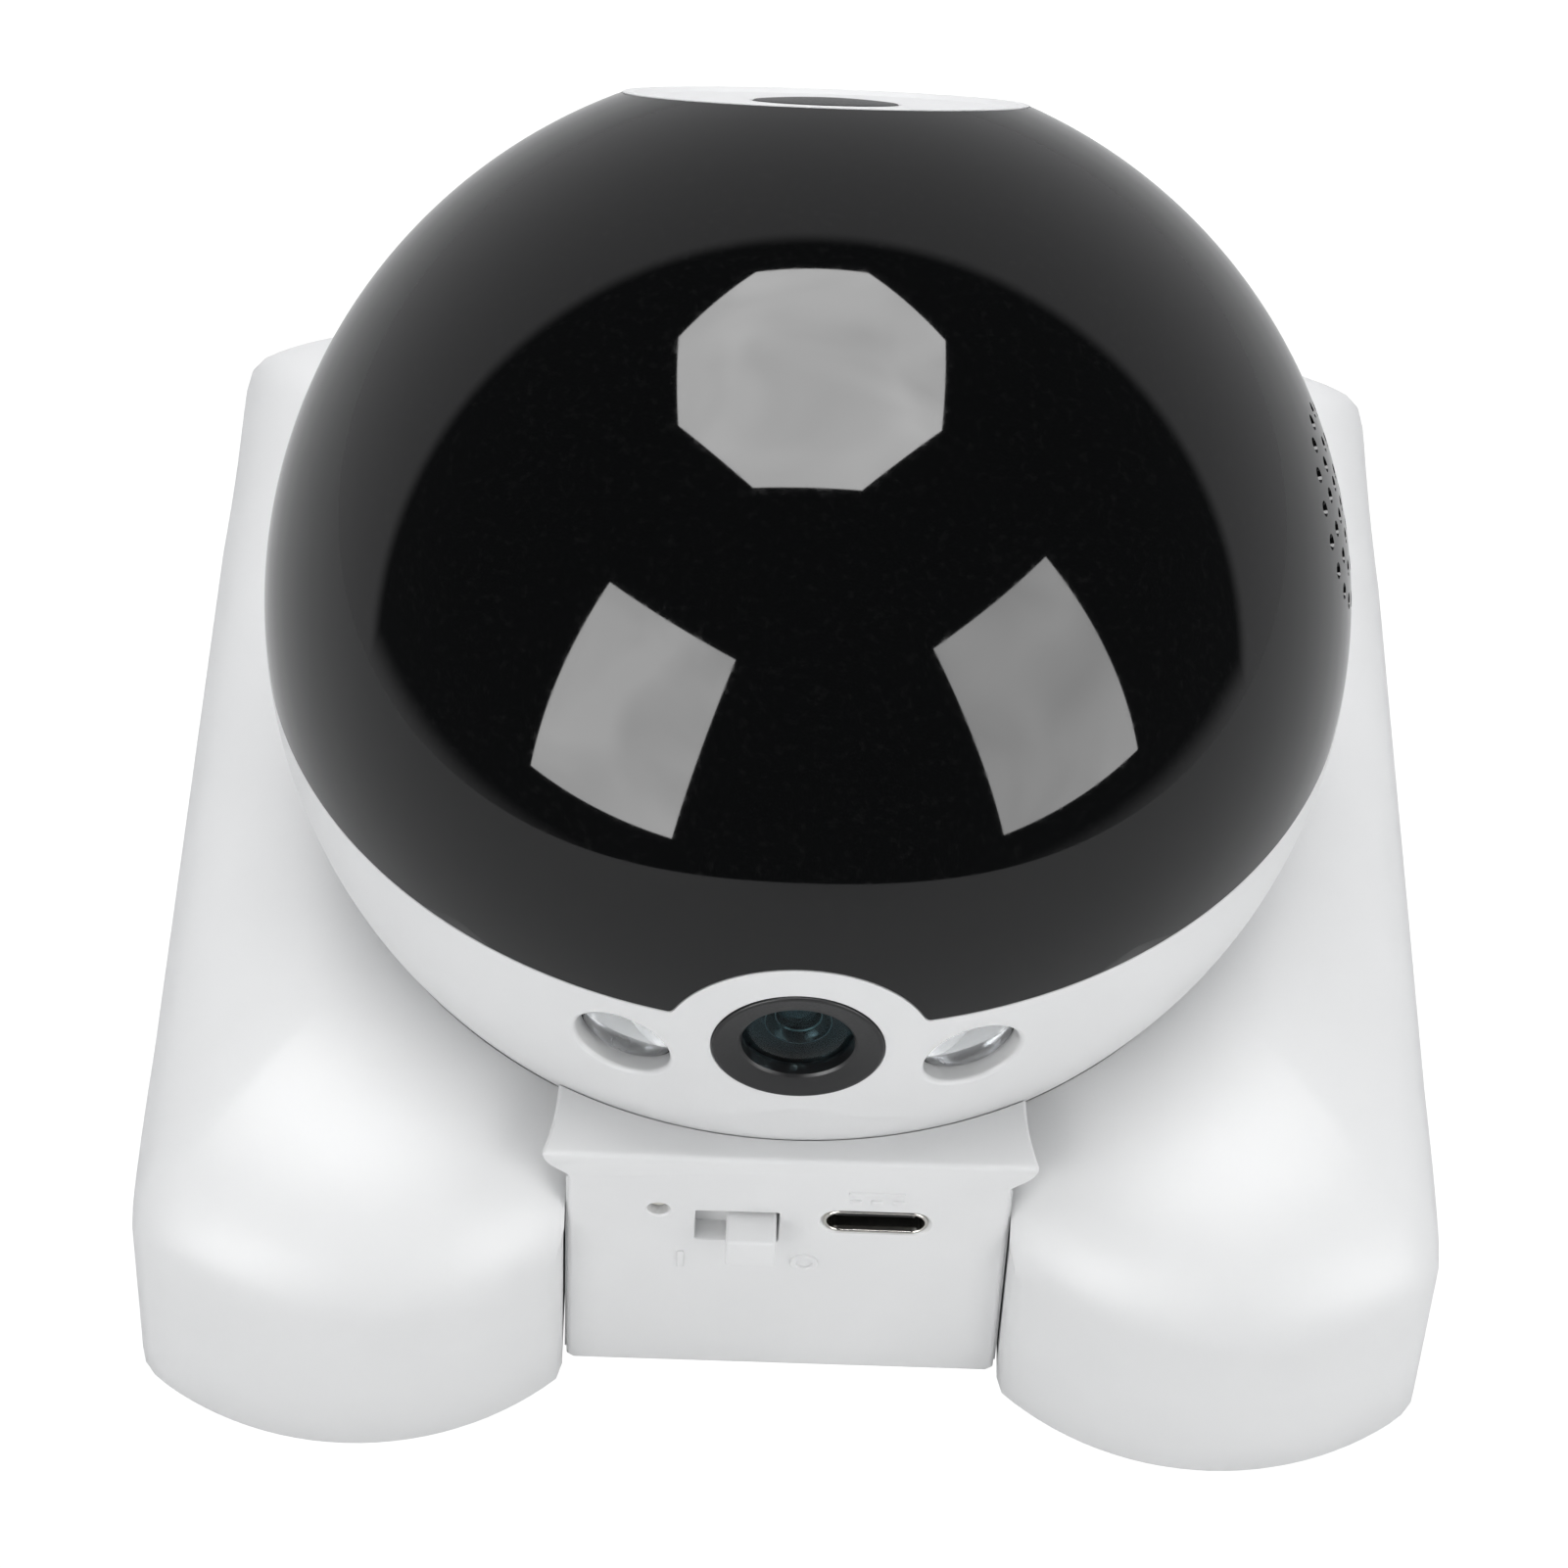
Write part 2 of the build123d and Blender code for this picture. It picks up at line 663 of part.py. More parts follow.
def block_outer():
    """Outside of the centre block with the flared rims at front and rear."""
    block = brick(-block_half_width, block_half_width, -panel_y, panel_y, shell_bottom_z, block_top_z)
    w = block_half_width
    low = block_top_z - flare_height
    flare = make_face(Polyline((w - 1, low), (w, low), (w + flare_width, block_top_z - 0.2),
                               (w + flare_width, block_top_z), (w - 1, block_top_z), close=True))
    deep = 6.5
    for y in (-panel_y + deep, panel_y):
        piece = extrude(Plane.XZ.offset(-y) * flare, amount=deep)
        block += piece + mirror(piece, Plane.YZ)
    return block


def panel_marks():
    """Raised marks: on and off strokes under the switch, a direct-current sign over the port."""
    marks = [panel.offset(-0.2) * Pos(-9.0, 17.5) * Rectangle(0.6, 2.4),
             panel.offset(-0.2) * Pos(1.6, 17.5) * (Circle(1.2) - Circle(0.7)),
             panel.offset(-0.2) * Pos(port_x, 28.4) * Rectangle(4.8, 0.5)]
    for x in (-1.8, 0, 1.8):
        marks.append(panel.offset(-0.2) * Pos(port_x + x, 27.3) * Rectangle(1.0, 0.5))
    return [extrude(mark, amount=mark_height + 0.2) for mark in marks]


window_left = knob_x - knob_width / 2 - knob_travel - knob_side_gap
window_right = knob_x + knob_width / 2 + knob_side_gap


def centre_block():
    """White centre block: front panel, socket floor, bearing boss and screw posts."""
    outer = block_outer() - socket(socket_radius, deck_top_z)
    inside = brick(-block_half_width + block_wall, block_half_width - block_wall,
                   -panel_y + block_wall, panel_y - block_wall, UNDER, block_top_z - block_wall)
    shell = outer - (inside - socket(socket_outer, deck_bottom_z))
    shell += drum(floor, boss_radius, boss_bottom_z, deck_bottom_z + 0.5)
    for x, y in block_post_spots:
        shell += Pos(x, y, 0) * drum(floor, post_radius, plate_top_z, block_top_z) & outer
    shell += panel_marks()
    shell -= drum(floor, bush_radius, boss_bottom_z - 1, deck_top_z + 1)
    for x, y in block_post_spots:
        shell -= Pos(x, y, 0) * drum(floor, screw_radius, UNDER, plate_top_z + 7)
    shell -= brick(window_left, window_right, -panel_y - 1, -panel_y + block_wall + 1,
                   knob_z - window_height / 2, knob_z + window_height / 2)
    shell -= drum(shifted(panel, pinhole_x, pinhole_z), pinhole_radius, -block_wall - 1, 1)
    slot = shifted(panel, port_x, port_z)
    shell -= extrude(slot.offset(-block_wall - 1) * SlotOverall(port_width, port_height), amount=10)
    shell -= board_space()
    return shell - plate_space()


board_top = port_z - port_height / 2
board_y0 = -panel_y + block_wall + 0.4
board_y1 = front_post_y - post_radius - 0.4
board_half = block_half_width - block_wall - 0.6


def board_space():
    """Room that the posts leave for the power board and what stands on it."""
    return brick(-board_half - 0.1, board_half + 0.1, board_y0 - 0.1, board_y1,
                 board_top - board_thickness, board_top + 0.2)


def power_board():
    """Charging and power board that carries the port and both switches."""
    low = board_top - board_thickness
    board = brick(-board_half, board_half, board_y0, board_y1, low, board_top)
    board -= brick(knob_x - knob_width / 2 - knob_travel - 1.3, knob_x + knob_width / 2 + 1.3,
                   board_y0 - 1, knob_back_y + 0.35, low - 1, board_top + 1)
    board += brick(-6, 2, board_y1 - 9, board_y1 - 3, board_top, board_top + 1.2)
    board += brick(3, 9, board_y1 - 11, board_y1 - 5, low - 3.0, low)
    board += brick(-10, -6, board_y1 - 10, board_y1 - 6, low - 2.0, low)
    return board


def usb_shell():
    """Stamped metal shell of the charging port."""
    port = shifted(panel, port_x, port_z)
    shell = extrude(port.offset(-port_depth) * SlotOverall(port_width, port_height), amount=port_depth)
    inner = SlotOverall(port_width - 2 * port_sheet, port_height - 2 * port_sheet)
    return shell - extrude(port.offset(-port_depth - 1) * inner, amount=port_depth + 2)


def usb_core():
    """Black insulator with the contact tongue."""
    port = shifted(panel, port_x, port_z)
    inner = SlotOverall(port_width - 2 * port_sheet, port_height - 2 * port_sheet)
    core = extrude(port.offset(-port_depth) * inner, amount=1.6)
    return core + extrude(port.offset(-port_depth) * Rectangle(tongue_width, tongue_thickness),
                          amount=port_depth - 0.9)


knob_back_y = -panel_y + block_wall + 1.2
switch_front_y = knob_back_y + 0.4
stem_half = 0.8
stem_height = 1.4
stem_z = board_top + 2.0


def switch_knob():
    """White slider cap with a hidden flange and a stem into the switch."""
    x0 = knob_x - knob_width / 2
    x1 = knob_x + knob_width / 2
    z0 = knob_z - knob_height / 2
    z1 = knob_z + knob_height / 2
    knob = brick(x0, x1, -panel_y - knob_stand_out, knob_back_y, z0, z1)
    front = knob.faces().sort_by(Axis.Y)[0]
    knob = fillet(front.edges(), 0.3)
    knob += brick(x0 - 0.9, x1 + 0.9, -panel_y + block_wall + 0.3, knob_back_y,
                  board_top + 0.3, z1 + 0.8)
    knob += brick(knob_x - stem_half, knob_x + stem_half, knob_back_y - 0.1, switch_front_y + 2.0,
                  stem_z - stem_height / 2, stem_z + stem_height / 2)
    return knob


def switch_body():
    """Slide switch on the power board."""
    z1 = deck_bottom_z - 0.15
    x0 = knob_x - knob_travel - stem_half - 1.6
    x1 = knob_x + stem_half + 1.6
    body = brick(x0, x1, switch_front_y, switch_front_y + 3.4, board_top, z1)
    slot = brick(knob_x - knob_travel - stem_half - 0.35, knob_x + stem_half + 0.35,
                 switch_front_y - 1, switch_front_y + 2.5,
                 stem_z - stem_height / 2 - 0.25, stem_z + stem_height / 2 + 0.25)
    return body - slot


reset_radius = pinhole_radius - 0.25
tact_front_y = -panel_y + block_wall + 0.35


def reset_plunger():
    """Small stem behind the pinhole."""
    stem = shifted(panel, pinhole_x, pinhole_z)
    return drum(stem, reset_radius, -panel_y - tact_front_y - 1.1, -0.9)


def reset_switch():
    """Push switch behind the pinhole, on the power board."""
    y1 = tact_front_y + 2.6
    body = brick(pinhole_x - 2.1, pinhole_x + 2.1, tact_front_y, y1, board_top, pinhole_z + 1.2)
    bore = drum(shifted(panel, pinhole_x, pinhole_z), reset_radius + 0.06,
                -panel_y - tact_front_y - 1.8, 0)
    return body - bore


# --------------------------------------------------- plate, cells and screws
plate_inset = 0.2
cell_centre_x = foot_outer_x - foot_wall - cell_radius - 0.35 - (foot_nose_y + cell_centre_y) \
    * math.tan(math.radians(foot_taper))


def plate_body(gap, low, top):
    """Plate outline inside the foot and block walls, grown all round by a gap."""
    right = foot_plan(foot_wall + plate_inset - gap)
    left = mirror(right, Plane.YZ)
    centre = Rectangle(2 * (block_half_width - block_wall - plate_inset + gap),
                       2 * (panel_y - block_wall - plate_inset + gap))
    bridge = Rectangle(2 * foot_axis_x, 1.2 * panel_y + 2 * gap)
    return extrude(Plane.XY.offset(low) * (right + left + centre + bridge), amount=top - low)


def plate_space():
    """Room for the plate, open downwards, with the parting gap round it."""
    return plate_body(part_gap, UNDER, plate_top_z + part_gap)


def base_plate():
    """Bottom plate with cell cradles, motor posts and screw holes."""
    plate = plate_body(0, plate_bottom_z, plate_top_z)
    for side in (-1, 1):
        for y in (-20.0, 20.0):
            rib = brick(-cell_radius - 1.5, cell_radius + 0.2, y - 1, y + 1, plate_top_z, cell_z - 3.5)
            rib = rib - Plane.XZ * Pos(0, cell_z) * extrude(Circle(cell_radius), amount=HUGE, both=True)
            plate += mirrored(cell_place() * rib, side)
    body_y = motor_axis_y + motor_offset
    for x in (-motor_ear_x, motor_ear_x):
        plate += Pos(x, body_y, 0) * drum(floor, 2.4, plate_top_z, motor_top_z - 1.0)
        plate -= Pos(x, body_y, 0) * drum(floor, 1.1, motor_top_z - 6, motor_top_z)
    for x, y in board_post_spots:
        plate += Pos(x, y, 0) * drum(floor, 2.0, plate_top_z, board_top - board_thickness)
    for x, y in base_screw_spots():
        plate -= Pos(x, y, 0) * drum(floor, screw_radius, UNDER, plate_top_z + 1)
        plate -= Pos(x, y, 0) * drum(floor, screw_head_radius, UNDER, plate_bottom_z + screw_head_height)
    return plate


board_post_spots = [(-board_half + 2.5, board_y1 - 2.5), (board_half - 2.5, board_y1 - 2.5)]


def base_screw_spots():
    """Where screws come up through the plate into the shells' posts."""
    feet = [(side * x, y) for side in (-1, 1) for x, y in foot_post_spots]
    return feet + block_post_spots


def base_screws():
    """Countersunk screws under the base."""
    head_top = plate_bottom_z + screw_head_height
    screw = drum(floor, screw_head_radius, plate_bottom_z, head_top) \
        + drum(floor, screw_radius, head_top, plate_top_z + 6)
    slot = brick(-1.7, 1.7, -0.25, 0.25, plate_bottom_z - 0.1, plate_bottom_z + 0.5)
    slot += brick(-0.25, 0.25, -1.7, 1.7, plate_bottom_z - 0.1, plate_bottom_z + 0.5)
    return group([Pos(x, y, 0) * (screw - slot) for x, y in base_screw_spots()])


def rubber_pads():
    """Four pads under the corners of the feet."""
    pads = []
    for sx in (-1, 1):
        for sy in (-1, 1):
            spot = Pos(sx * (foot_axis_x + 2.0), sy * (foot_arc_y + 6.0), 0)
            pads.append(spot * drum(floor, pad_radius, 0, plate_bottom_z))
    return group(pads)


def cell_place():
    """Seat of the right foot's cell, parallel to the outer wall."""
    return Pos(cell_centre_x, cell_centre_y, 0) * Rot(0, 0, foot_taper)


def battery(side):
    """Round rechargeable cell."""
    body = extrude(Plane.XZ * Circle(cell_radius), amount=cell_length / 2, both=True)
    return mirrored(cell_place() * Pos(0, 0, cell_z) * body, side)


def cell_contacts(side):
    """Two sprung metal plates that touch the cell's ends."""
    plates = []
    for end in (-1, 1):
        y = end * (cell_length / 2 + contact_thickness / 2)
        plates.append(Pos(0, y, cell_z - 1.5) * Box(9, contact_thickness, 14))
    return mirrored(cell_place() * group(plates), side)


# -------------------------------------------------------------------- output
save(lower_shell(), "lower_shell")
save(top_dome(), "top_dome")
save(back_disc(), "back_disc")
save(call_button(), "call_button")
save(button_board(), "button_board")
save(lens_ring(), "lens_ring")
save(lens_barrel(), "lens_barrel")
save(lens_glass(), "lens_glass")
save(lens_rear_glass(), "lens_rear_glass")
save(lens_holder(), "lens_holder")
save(sensor_board(), "sensor_board")
for side in ("left", "right"):
    save(lamp_lens(side), f"lamp_lens_{side}")
    save(lamp_cup(side), f"lamp_cup_{side}")
    save(lamp_board(side), f"lamp_board_{side}")
save(head_frame(), "head_frame")
save(head_screws(), "head_screws")
save(main_board(), "main_board")
save(wifi_antenna(), "wifi_antenna")
save(microphone(), "microphone")
save(speaker(), "speaker")
save(speaker_gasket(), "speaker_gasket")
save(pan_hub(), "pan_hub")
save(hub_screws(), "hub_screws")
save(hub_clip(), "hub_clip")
save(pan_gear(), "pan_gear")
save(pan_bush(), "pan_bush")
save(motor_pinion(), "motor_pinion")
save(pan_motor(), "pan_motor")
save(motor_screws(), "motor_screws")
save(centre_block(), "centre_block")
save(power_board(), "power_board")
save(usb_shell(), "usb_shell")
save(usb_core(), "usb_core")
save(switch_knob(), "switch_knob")
save(switch_body(), "switch_body")
save(reset_plunger(), "reset_plunger")
save(reset_switch(), "reset_switch")
save(base_plate(), "base_plate")
save(base_screws(), "base_screws")
save(rubber_pads(), "rubber_pads")
for name, side in (("left", -1), ("right", 1)):
    save(foot_shell(side), f"foot_{name}")
    save(battery(side), f"battery_{name}")
    save(cell_contacts(side), f"cell_contacts_{name}")
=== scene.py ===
import bmesh
import bpy
import numpy as np
from mathutils import Matrix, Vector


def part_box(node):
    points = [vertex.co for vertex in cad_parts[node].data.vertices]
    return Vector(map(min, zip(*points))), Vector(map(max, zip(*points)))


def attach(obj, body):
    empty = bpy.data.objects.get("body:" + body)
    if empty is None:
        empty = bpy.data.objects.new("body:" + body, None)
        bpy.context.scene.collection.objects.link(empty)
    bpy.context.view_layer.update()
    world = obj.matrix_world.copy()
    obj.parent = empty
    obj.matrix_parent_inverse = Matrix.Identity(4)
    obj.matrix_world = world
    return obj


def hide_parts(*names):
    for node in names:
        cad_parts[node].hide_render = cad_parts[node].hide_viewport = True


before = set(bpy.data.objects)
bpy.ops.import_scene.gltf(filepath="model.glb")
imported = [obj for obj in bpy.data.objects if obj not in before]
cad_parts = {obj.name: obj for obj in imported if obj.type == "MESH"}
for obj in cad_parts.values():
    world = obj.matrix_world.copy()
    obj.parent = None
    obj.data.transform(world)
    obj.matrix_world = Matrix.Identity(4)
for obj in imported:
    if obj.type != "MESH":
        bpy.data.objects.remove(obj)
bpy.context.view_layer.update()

# ---- Standpoint and light --------------------------------------------------
# The camera stands in front of the object and well above it, with a long lens.
# One eight-sided box hangs over the table and two upright boxes stand in front.

mm = 0.001
look_at = np.array([-1.235, 0.013, 26.15]) * mm
view_elevation = np.radians(53.47)
view_yaw = np.radians(1.233)
view_roll = np.radians(2.92)
view_distance = 585.4 * mm
sensor_width = 36.0
view_angle = 2 * np.arctan(800.5 / 6748)


def pointing(azimuth, elevation):
    """Unit vector: the front (-Y) turned by azimuth towards +X, then raised by elevation."""
    return np.array([np.sin(azimuth) * np.cos(elevation), -np.cos(azimuth) * np.cos(elevation),
                     np.sin(elevation)])


def turned(right, up, back, place):
    """4x4 matrix with three axes as its columns and a place."""
    matrix = np.eye(4)
    matrix[:3, 0], matrix[:3, 1], matrix[:3, 2], matrix[:3, 3] = right, up, back, place
    return Matrix(matrix.tolist())


def stand_camera():
    """Camera on the line of sight, level first and then rolled about that line."""
    back = pointing(-view_yaw, view_elevation)
    level = np.cross([0, 0, 1], back)
    level /= np.linalg.norm(level)
    upright = np.cross(back, level)
    right = level * np.cos(view_roll) + upright * np.sin(view_roll)
    data = bpy.data.cameras.new("view")
    data.sensor_width = sensor_width
    data.lens = sensor_width / 2 / np.tan(view_angle / 2)
    data.clip_start, data.clip_end = 0.01, 20
    camera = bpy.data.objects.new("view", data)
    bpy.context.scene.collection.objects.link(camera)
    camera.matrix_world = turned(right, np.cross(back, right), back, look_at + back * view_distance)
    bpy.context.scene.camera = camera


def between(new, link, value, low, high, spread=(0.3, 0.7)):
    """Number that runs from low to high as a value runs over its spread, a noise's usual one by default."""
    step = new("ShaderNodeMapRange")
    step.inputs["From Min"].default_value, step.inputs["From Max"].default_value = spread
    step.inputs["To Min"].default_value, step.inputs["To Max"].default_value = low, high
    link(value, step.inputs["Value"])
    return step.outputs[0]


def cloth_light(name, strength):
    """White emitting cloth: its strength drifts along soft folds, in Object coordinates."""
    material = bpy.data.materials.new(name)
    material.use_nodes = True
    nodes, link = material.node_tree.nodes, material.node_tree.links.new
    nodes.clear()
    place = nodes.new("ShaderNodeTexCoord")
    folds = nodes.new("ShaderNodeTexNoise")
    folds.inputs["Scale"].default_value = 2.6
    folds.inputs["Detail"].default_value = 1.5
    folds.inputs["Distortion"].default_value = 0.8
    link(place.outputs["Object"], folds.inputs["Vector"])
    lamp = nodes.new("ShaderNodeEmission")
    link(between(nodes.new, link, folds.outputs[0], 0.86 * strength, 1.1 * strength), lamp.inputs["Strength"])
    out = nodes.new("ShaderNodeOutputMaterial")
    link(lamp.outputs[0], out.inputs[0])
    return material


def light_box(name, centre, width, height, sides, matt, shine, facing=None):
    """Flat polygon of light facing the object: corners evenly round an ellipse.

    Two sheets lie in one place: matt lights the surfaces, shine is the one they mirror.
    """
    back = -centre / np.linalg.norm(centre) if facing is None else np.array(facing, float)
    right = np.cross([0, 0, 1], back) if abs(back[2]) < 0.95 else np.array([1.0, 0, 0])
    right /= np.linalg.norm(right)
    up = np.cross(back, right)
    turn = 2 * np.pi * (np.arange(sides) + 0.5) / sides
    reach = 1 / np.cos(np.pi / sides)
    corners = centre + np.outer(np.cos(turn) * reach * width / 2, right) \
        + np.outer(np.sin(turn) * reach * height / 2, up)
    for use, strength in (("matt", matt), ("shine", shine)):
        mesh = bpy.data.meshes.new(f"{name}_{use}")
        mesh.from_pydata(corners.tolist(), [], [list(range(sides))])
        mesh.materials.append(cloth_light(f"{name}_{use}_cloth", strength))
        box = bpy.data.objects.new(f"{name}_{use}", mesh)
        bpy.context.scene.collection.objects.link(box)
        box.visible_camera = False
        box.visible_diffuse = use == "matt"
        box.visible_glossy = use == "shine"
        box.visible_transmission = use == "shine"


stand_camera()
ball_height = np.array([0, 0, 52.1]) * mm
light_distance = 0.9
light_box("overhead_box", ball_height + light_distance * np.array([-0.03, 0.2, 1.0]),
          0.84, 0.84, 8, 4.0, 9.6, facing=(0, 0, -1))
light_box("left_box", ball_height + light_distance * pointing(np.radians(-38), np.radians(19)),
          0.50, 0.68, 4, 3.9, 7.6)
light_box("right_box", ball_height + light_distance * pointing(np.radians(51), np.radians(18)),
          0.50, 0.72, 4, 4.1, 5.8)


def light_world():
    """Room seen in reflections: dark above and in front, pale up to a height behind, white to the eye.

    Matt surfaces receive more light from both tones than mirrored rays see.
    """
    world = bpy.data.worlds.new("room")
    bpy.context.scene.world = world
    world.use_nodes = True
    tree = world.node_tree
    tree.nodes.clear()
    new, link = tree.nodes.new, tree.links.new
    place = new("ShaderNodeTexCoord")
    parts = new("ShaderNodeSeparateXYZ")
    link(place.outputs["Generated"], parts.inputs[0])
    under = new("ShaderNodeMath")
    under.operation = "SUBTRACT"
    link(between(new, link, parts.outputs["Y"], -0.22, 0.86, (0.05, 0.75)), under.inputs[0])
    link(parts.outputs["Z"], under.inputs[1])
    share = new("ShaderNodeMapRange")
    share.interpolation_type = "SMOOTHSTEP"
    share.inputs["From Min"].default_value = -0.03
    share.inputs["From Max"].default_value = 0.10
    link(under.outputs[0], share.inputs["Value"])
    ray = new("ShaderNodeLightPath")
    room = new("ShaderNodeMixShader")
    link(share.outputs[0], room.inputs[0])
    tones = (((0.056, 0.058, 0.06, 1), 6.5), ((0.55, 0.55, 0.56, 1), 2.4))
    for seat, (colour, lift) in enumerate(tones, 1):
        tone = new("ShaderNodeBackground")
        tone.inputs["Color"].default_value = colour
        link(between(new, link, ray.outputs["Is Diffuse Ray"], 1.0, lift, (0, 1)), tone.inputs["Strength"])
        link(tone.outputs[0], room.inputs[seat])
    white = new("ShaderNodeBackground")
    white.inputs["Color"].default_value = (1, 1, 1, 1)
    white.inputs["Strength"].default_value = 1.1
    seen = new("ShaderNodeMixShader")
    link(ray.outputs["Is Camera Ray"], seen.inputs[0])
    link(room.outputs[0], seen.inputs[1])
    link(white.outputs[0], seen.inputs[2])
    out = new("ShaderNodeOutputWorld")
    link(seen.outputs[0], out.inputs[0])


light_world()
bpy.context.scene.view_settings.view_transform = "Standard"

# ---- Table top -------------------------------------------------------------
# A white oval table that the object stands on, mirrored in the glossy dome and
# throwing light up at the sides. The eye sees plain white in its place.

table_half_width = 0.25
table_half_depth = 0.56


def finish_nodes(name, roughness, specular=0.5, metallic=0.0):
    """New material with its shader's constant values set on the shader itself."""
    material = bpy.data.materials.new(name)
    material.use_nodes = True
    skin = material.node_tree.nodes["Principled BSDF"]
    skin.inputs["Roughness"].default_value = roughness
    skin.inputs["Specular IOR Level"].default_value = specular
    skin.inputs["Metallic"].default_value = metallic
    return material, skin, material.node_tree.nodes.new, material.node_tree.links.new


def lay_table():
    """Oval at floor height: one ring of points joined as a single face."""
    turn = np.linspace(0, 2 * np.pi, 96, endpoint=False)
    ring = np.stack([table_half_width * np.cos(turn), table_half_depth * np.sin(turn), 0 * turn], 1)
    mesh = bpy.data.meshes.new("table_top")
    mesh.from_pydata(ring.tolist(), [], [list(range(len(ring)))])
    material, skin, new, link = finish_nodes("table_paper", 0.9, 0.1)
    ray = new("ShaderNodeLightPath")
    link(between(new, link, ray.outputs["Is Glossy Ray"], 0.88, 0.62, (0, 1)), skin.inputs["Base Color"])
    mesh.materials.append(material)
    table = bpy.data.objects.new("table_top", mesh)
    bpy.context.scene.collection.objects.link(table)
    table.visible_camera = False


lay_table()

# ---- Rubber pads and bottom plate ------------------------------------------
# Four black rubber discs stuck under the corners of the feet, and the moulded
# plate with its screws that closes the base from below.


def grain(new, link, scale, detail=2.0, stretch=(1, 1, 1)):
    """Noise over Object coordinates, with a grain size set by scale (per metre)."""
    place = new("ShaderNodeTexCoord")
    mapping = new("ShaderNodeMapping")
    mapping.inputs["Scale"].default_value = stretch
    link(place.outputs["Object"], mapping.inputs["Vector"])
    noise = new("ShaderNodeTexNoise")
    noise.inputs["Scale"].default_value = scale
    noise.inputs["Detail"].default_value = detail
    link(mapping.outputs[0], noise.inputs["Vector"])
    return noise.outputs[0]


def tinted(new, link, value, dark, light, spread=(0.3, 0.7)):
    """Colour that runs between two tints as a noise runs over its usual spread."""
    ramp = new("ShaderNodeValToRGB")
    ramp.color_ramp.elements[0].position, ramp.color_ramp.elements[1].position = spread
    ramp.color_ramp.elements[0].color = (*dark, 1)
    ramp.color_ramp.elements[1].color = (*light, 1)
    link(value, ramp.inputs[0])
    return ramp.outputs[0]


def dented(new, link, skin, value, strength, depth):
    """Bump from a noise: depth in metres at full height."""
    bump = new("ShaderNodeBump")
    bump.inputs["Strength"].default_value = strength
    bump.inputs["Distance"].default_value = depth
    link(value, bump.inputs["Height"])
    link(bump.outputs[0], skin.inputs["Normal"])


def moulding(name, dark, light, roughness, grain_scale, grain_depth, specular=0.5):
    """Moulded plastic: two close tints, uneven gloss and a fine spark-eroded grain."""
    material, skin, new, link = finish_nodes(name, roughness, specular)
    broad = grain(new, link, 45.0, 3.0)
    fine = grain(new, link, grain_scale)
    link(tinted(new, link, broad, dark, light), skin.inputs["Base Color"])
    link(between(new, link, fine, roughness * 0.88, roughness * 1.12), skin.inputs["Roughness"])
    dented(new, link, skin, fine, 0.5, grain_depth)
    return material


def build(name, points, faces, material, body, slot):
    """Mesh of points in millimetres and faces, welded, turned outwards and put on a body."""
    mesh = bpy.data.meshes.new(name)
    mesh.from_pydata((np.asarray(points, float).reshape(-1, 3) * mm).tolist(), [], faces)
    work = bmesh.new()
    work.from_mesh(mesh)
    bmesh.ops.remove_doubles(work, verts=work.verts, dist=2e-7)
    bmesh.ops.dissolve_degenerate(work, edges=work.edges, dist=1e-7)
    bmesh.ops.recalc_face_normals(work, faces=work.faces)
    work.to_mesh(mesh)
    work.free()
    mesh.materials.append(material)
    piece = bpy.data.objects.new(name, mesh)
    bpy.context.scene.collection.objects.link(piece)
    smooth(piece)
    if body:
        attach(piece, body)
    return piece


def smooth(piece, crease_angle=40.0):
    """Smooth shading, with edges sharper than the crease angle (degrees) kept crisp."""
    mesh = piece.data
    mesh.polygons.foreach_set("use_smooth", np.ones(len(mesh.polygons), bool))
    mesh.set_sharp_from_angle(angle=np.radians(crease_angle))


def quads(rows, columns, wrap_rows=False, wrap_columns=False):
    """Faces of a grid of rows by columns, closed round in either direction if asked."""
    i = np.arange(rows if wrap_rows else rows - 1)[:, None]
    j = np.arange(columns if wrap_columns else columns - 1)[None, :]
    a = i * columns + j
    b = i * columns + (j + 1) % columns
    c = (i + 1) % rows * columns + (j + 1) % columns
    d = (i + 1) % rows * columns + j
    return np.stack([a, b, c, d], -1).reshape(-1, 4).tolist()


def lathe(profile, place, axis, count=96):
    """Grid of a closed outline turned about an axis: outline points are (radius, height along it)."""
    axis = np.asarray(axis, float) / np.linalg.norm(axis)
    side = np.cross(axis, [0, 0, 1.0]) if abs(axis[2]) < 0.9 else np.array([1.0, 0, 0])
    side /= np.linalg.norm(side)
    across = np.cross(axis, side)
    radius, height = np.asarray(profile, float).T
    turn = np.linspace(0, 2 * np.pi, count, endpoint=False)[:, None, None]
    outward = np.cos(turn) * side + np.sin(turn) * across
    points = np.asarray(place, float) + radius[None, :, None] * outward + height[None, :, None] * axis
    return points, quads(count, len(profile), True, True)


def spun(profile, place, axis, count):
    """Solid of an open outline turned about an axis: both its ends lie on the axis."""
    points, _ = lathe(profile, place, axis, count)
    return points, quads(points.shape[0], points.shape[1], True, False)


def joined(grids):
    """Several grids of points and faces as one: each grid's faces count on from the points before it."""
    all_points, all_faces, base = [], [], 0
    for points, faces in grids:
        flat = np.asarray(points).reshape(-1, 3)
        all_points.append(flat)
        all_faces += [[base + v for v in face] for face in faces]
        base += len(flat)
    return np.concatenate(all_points), all_faces


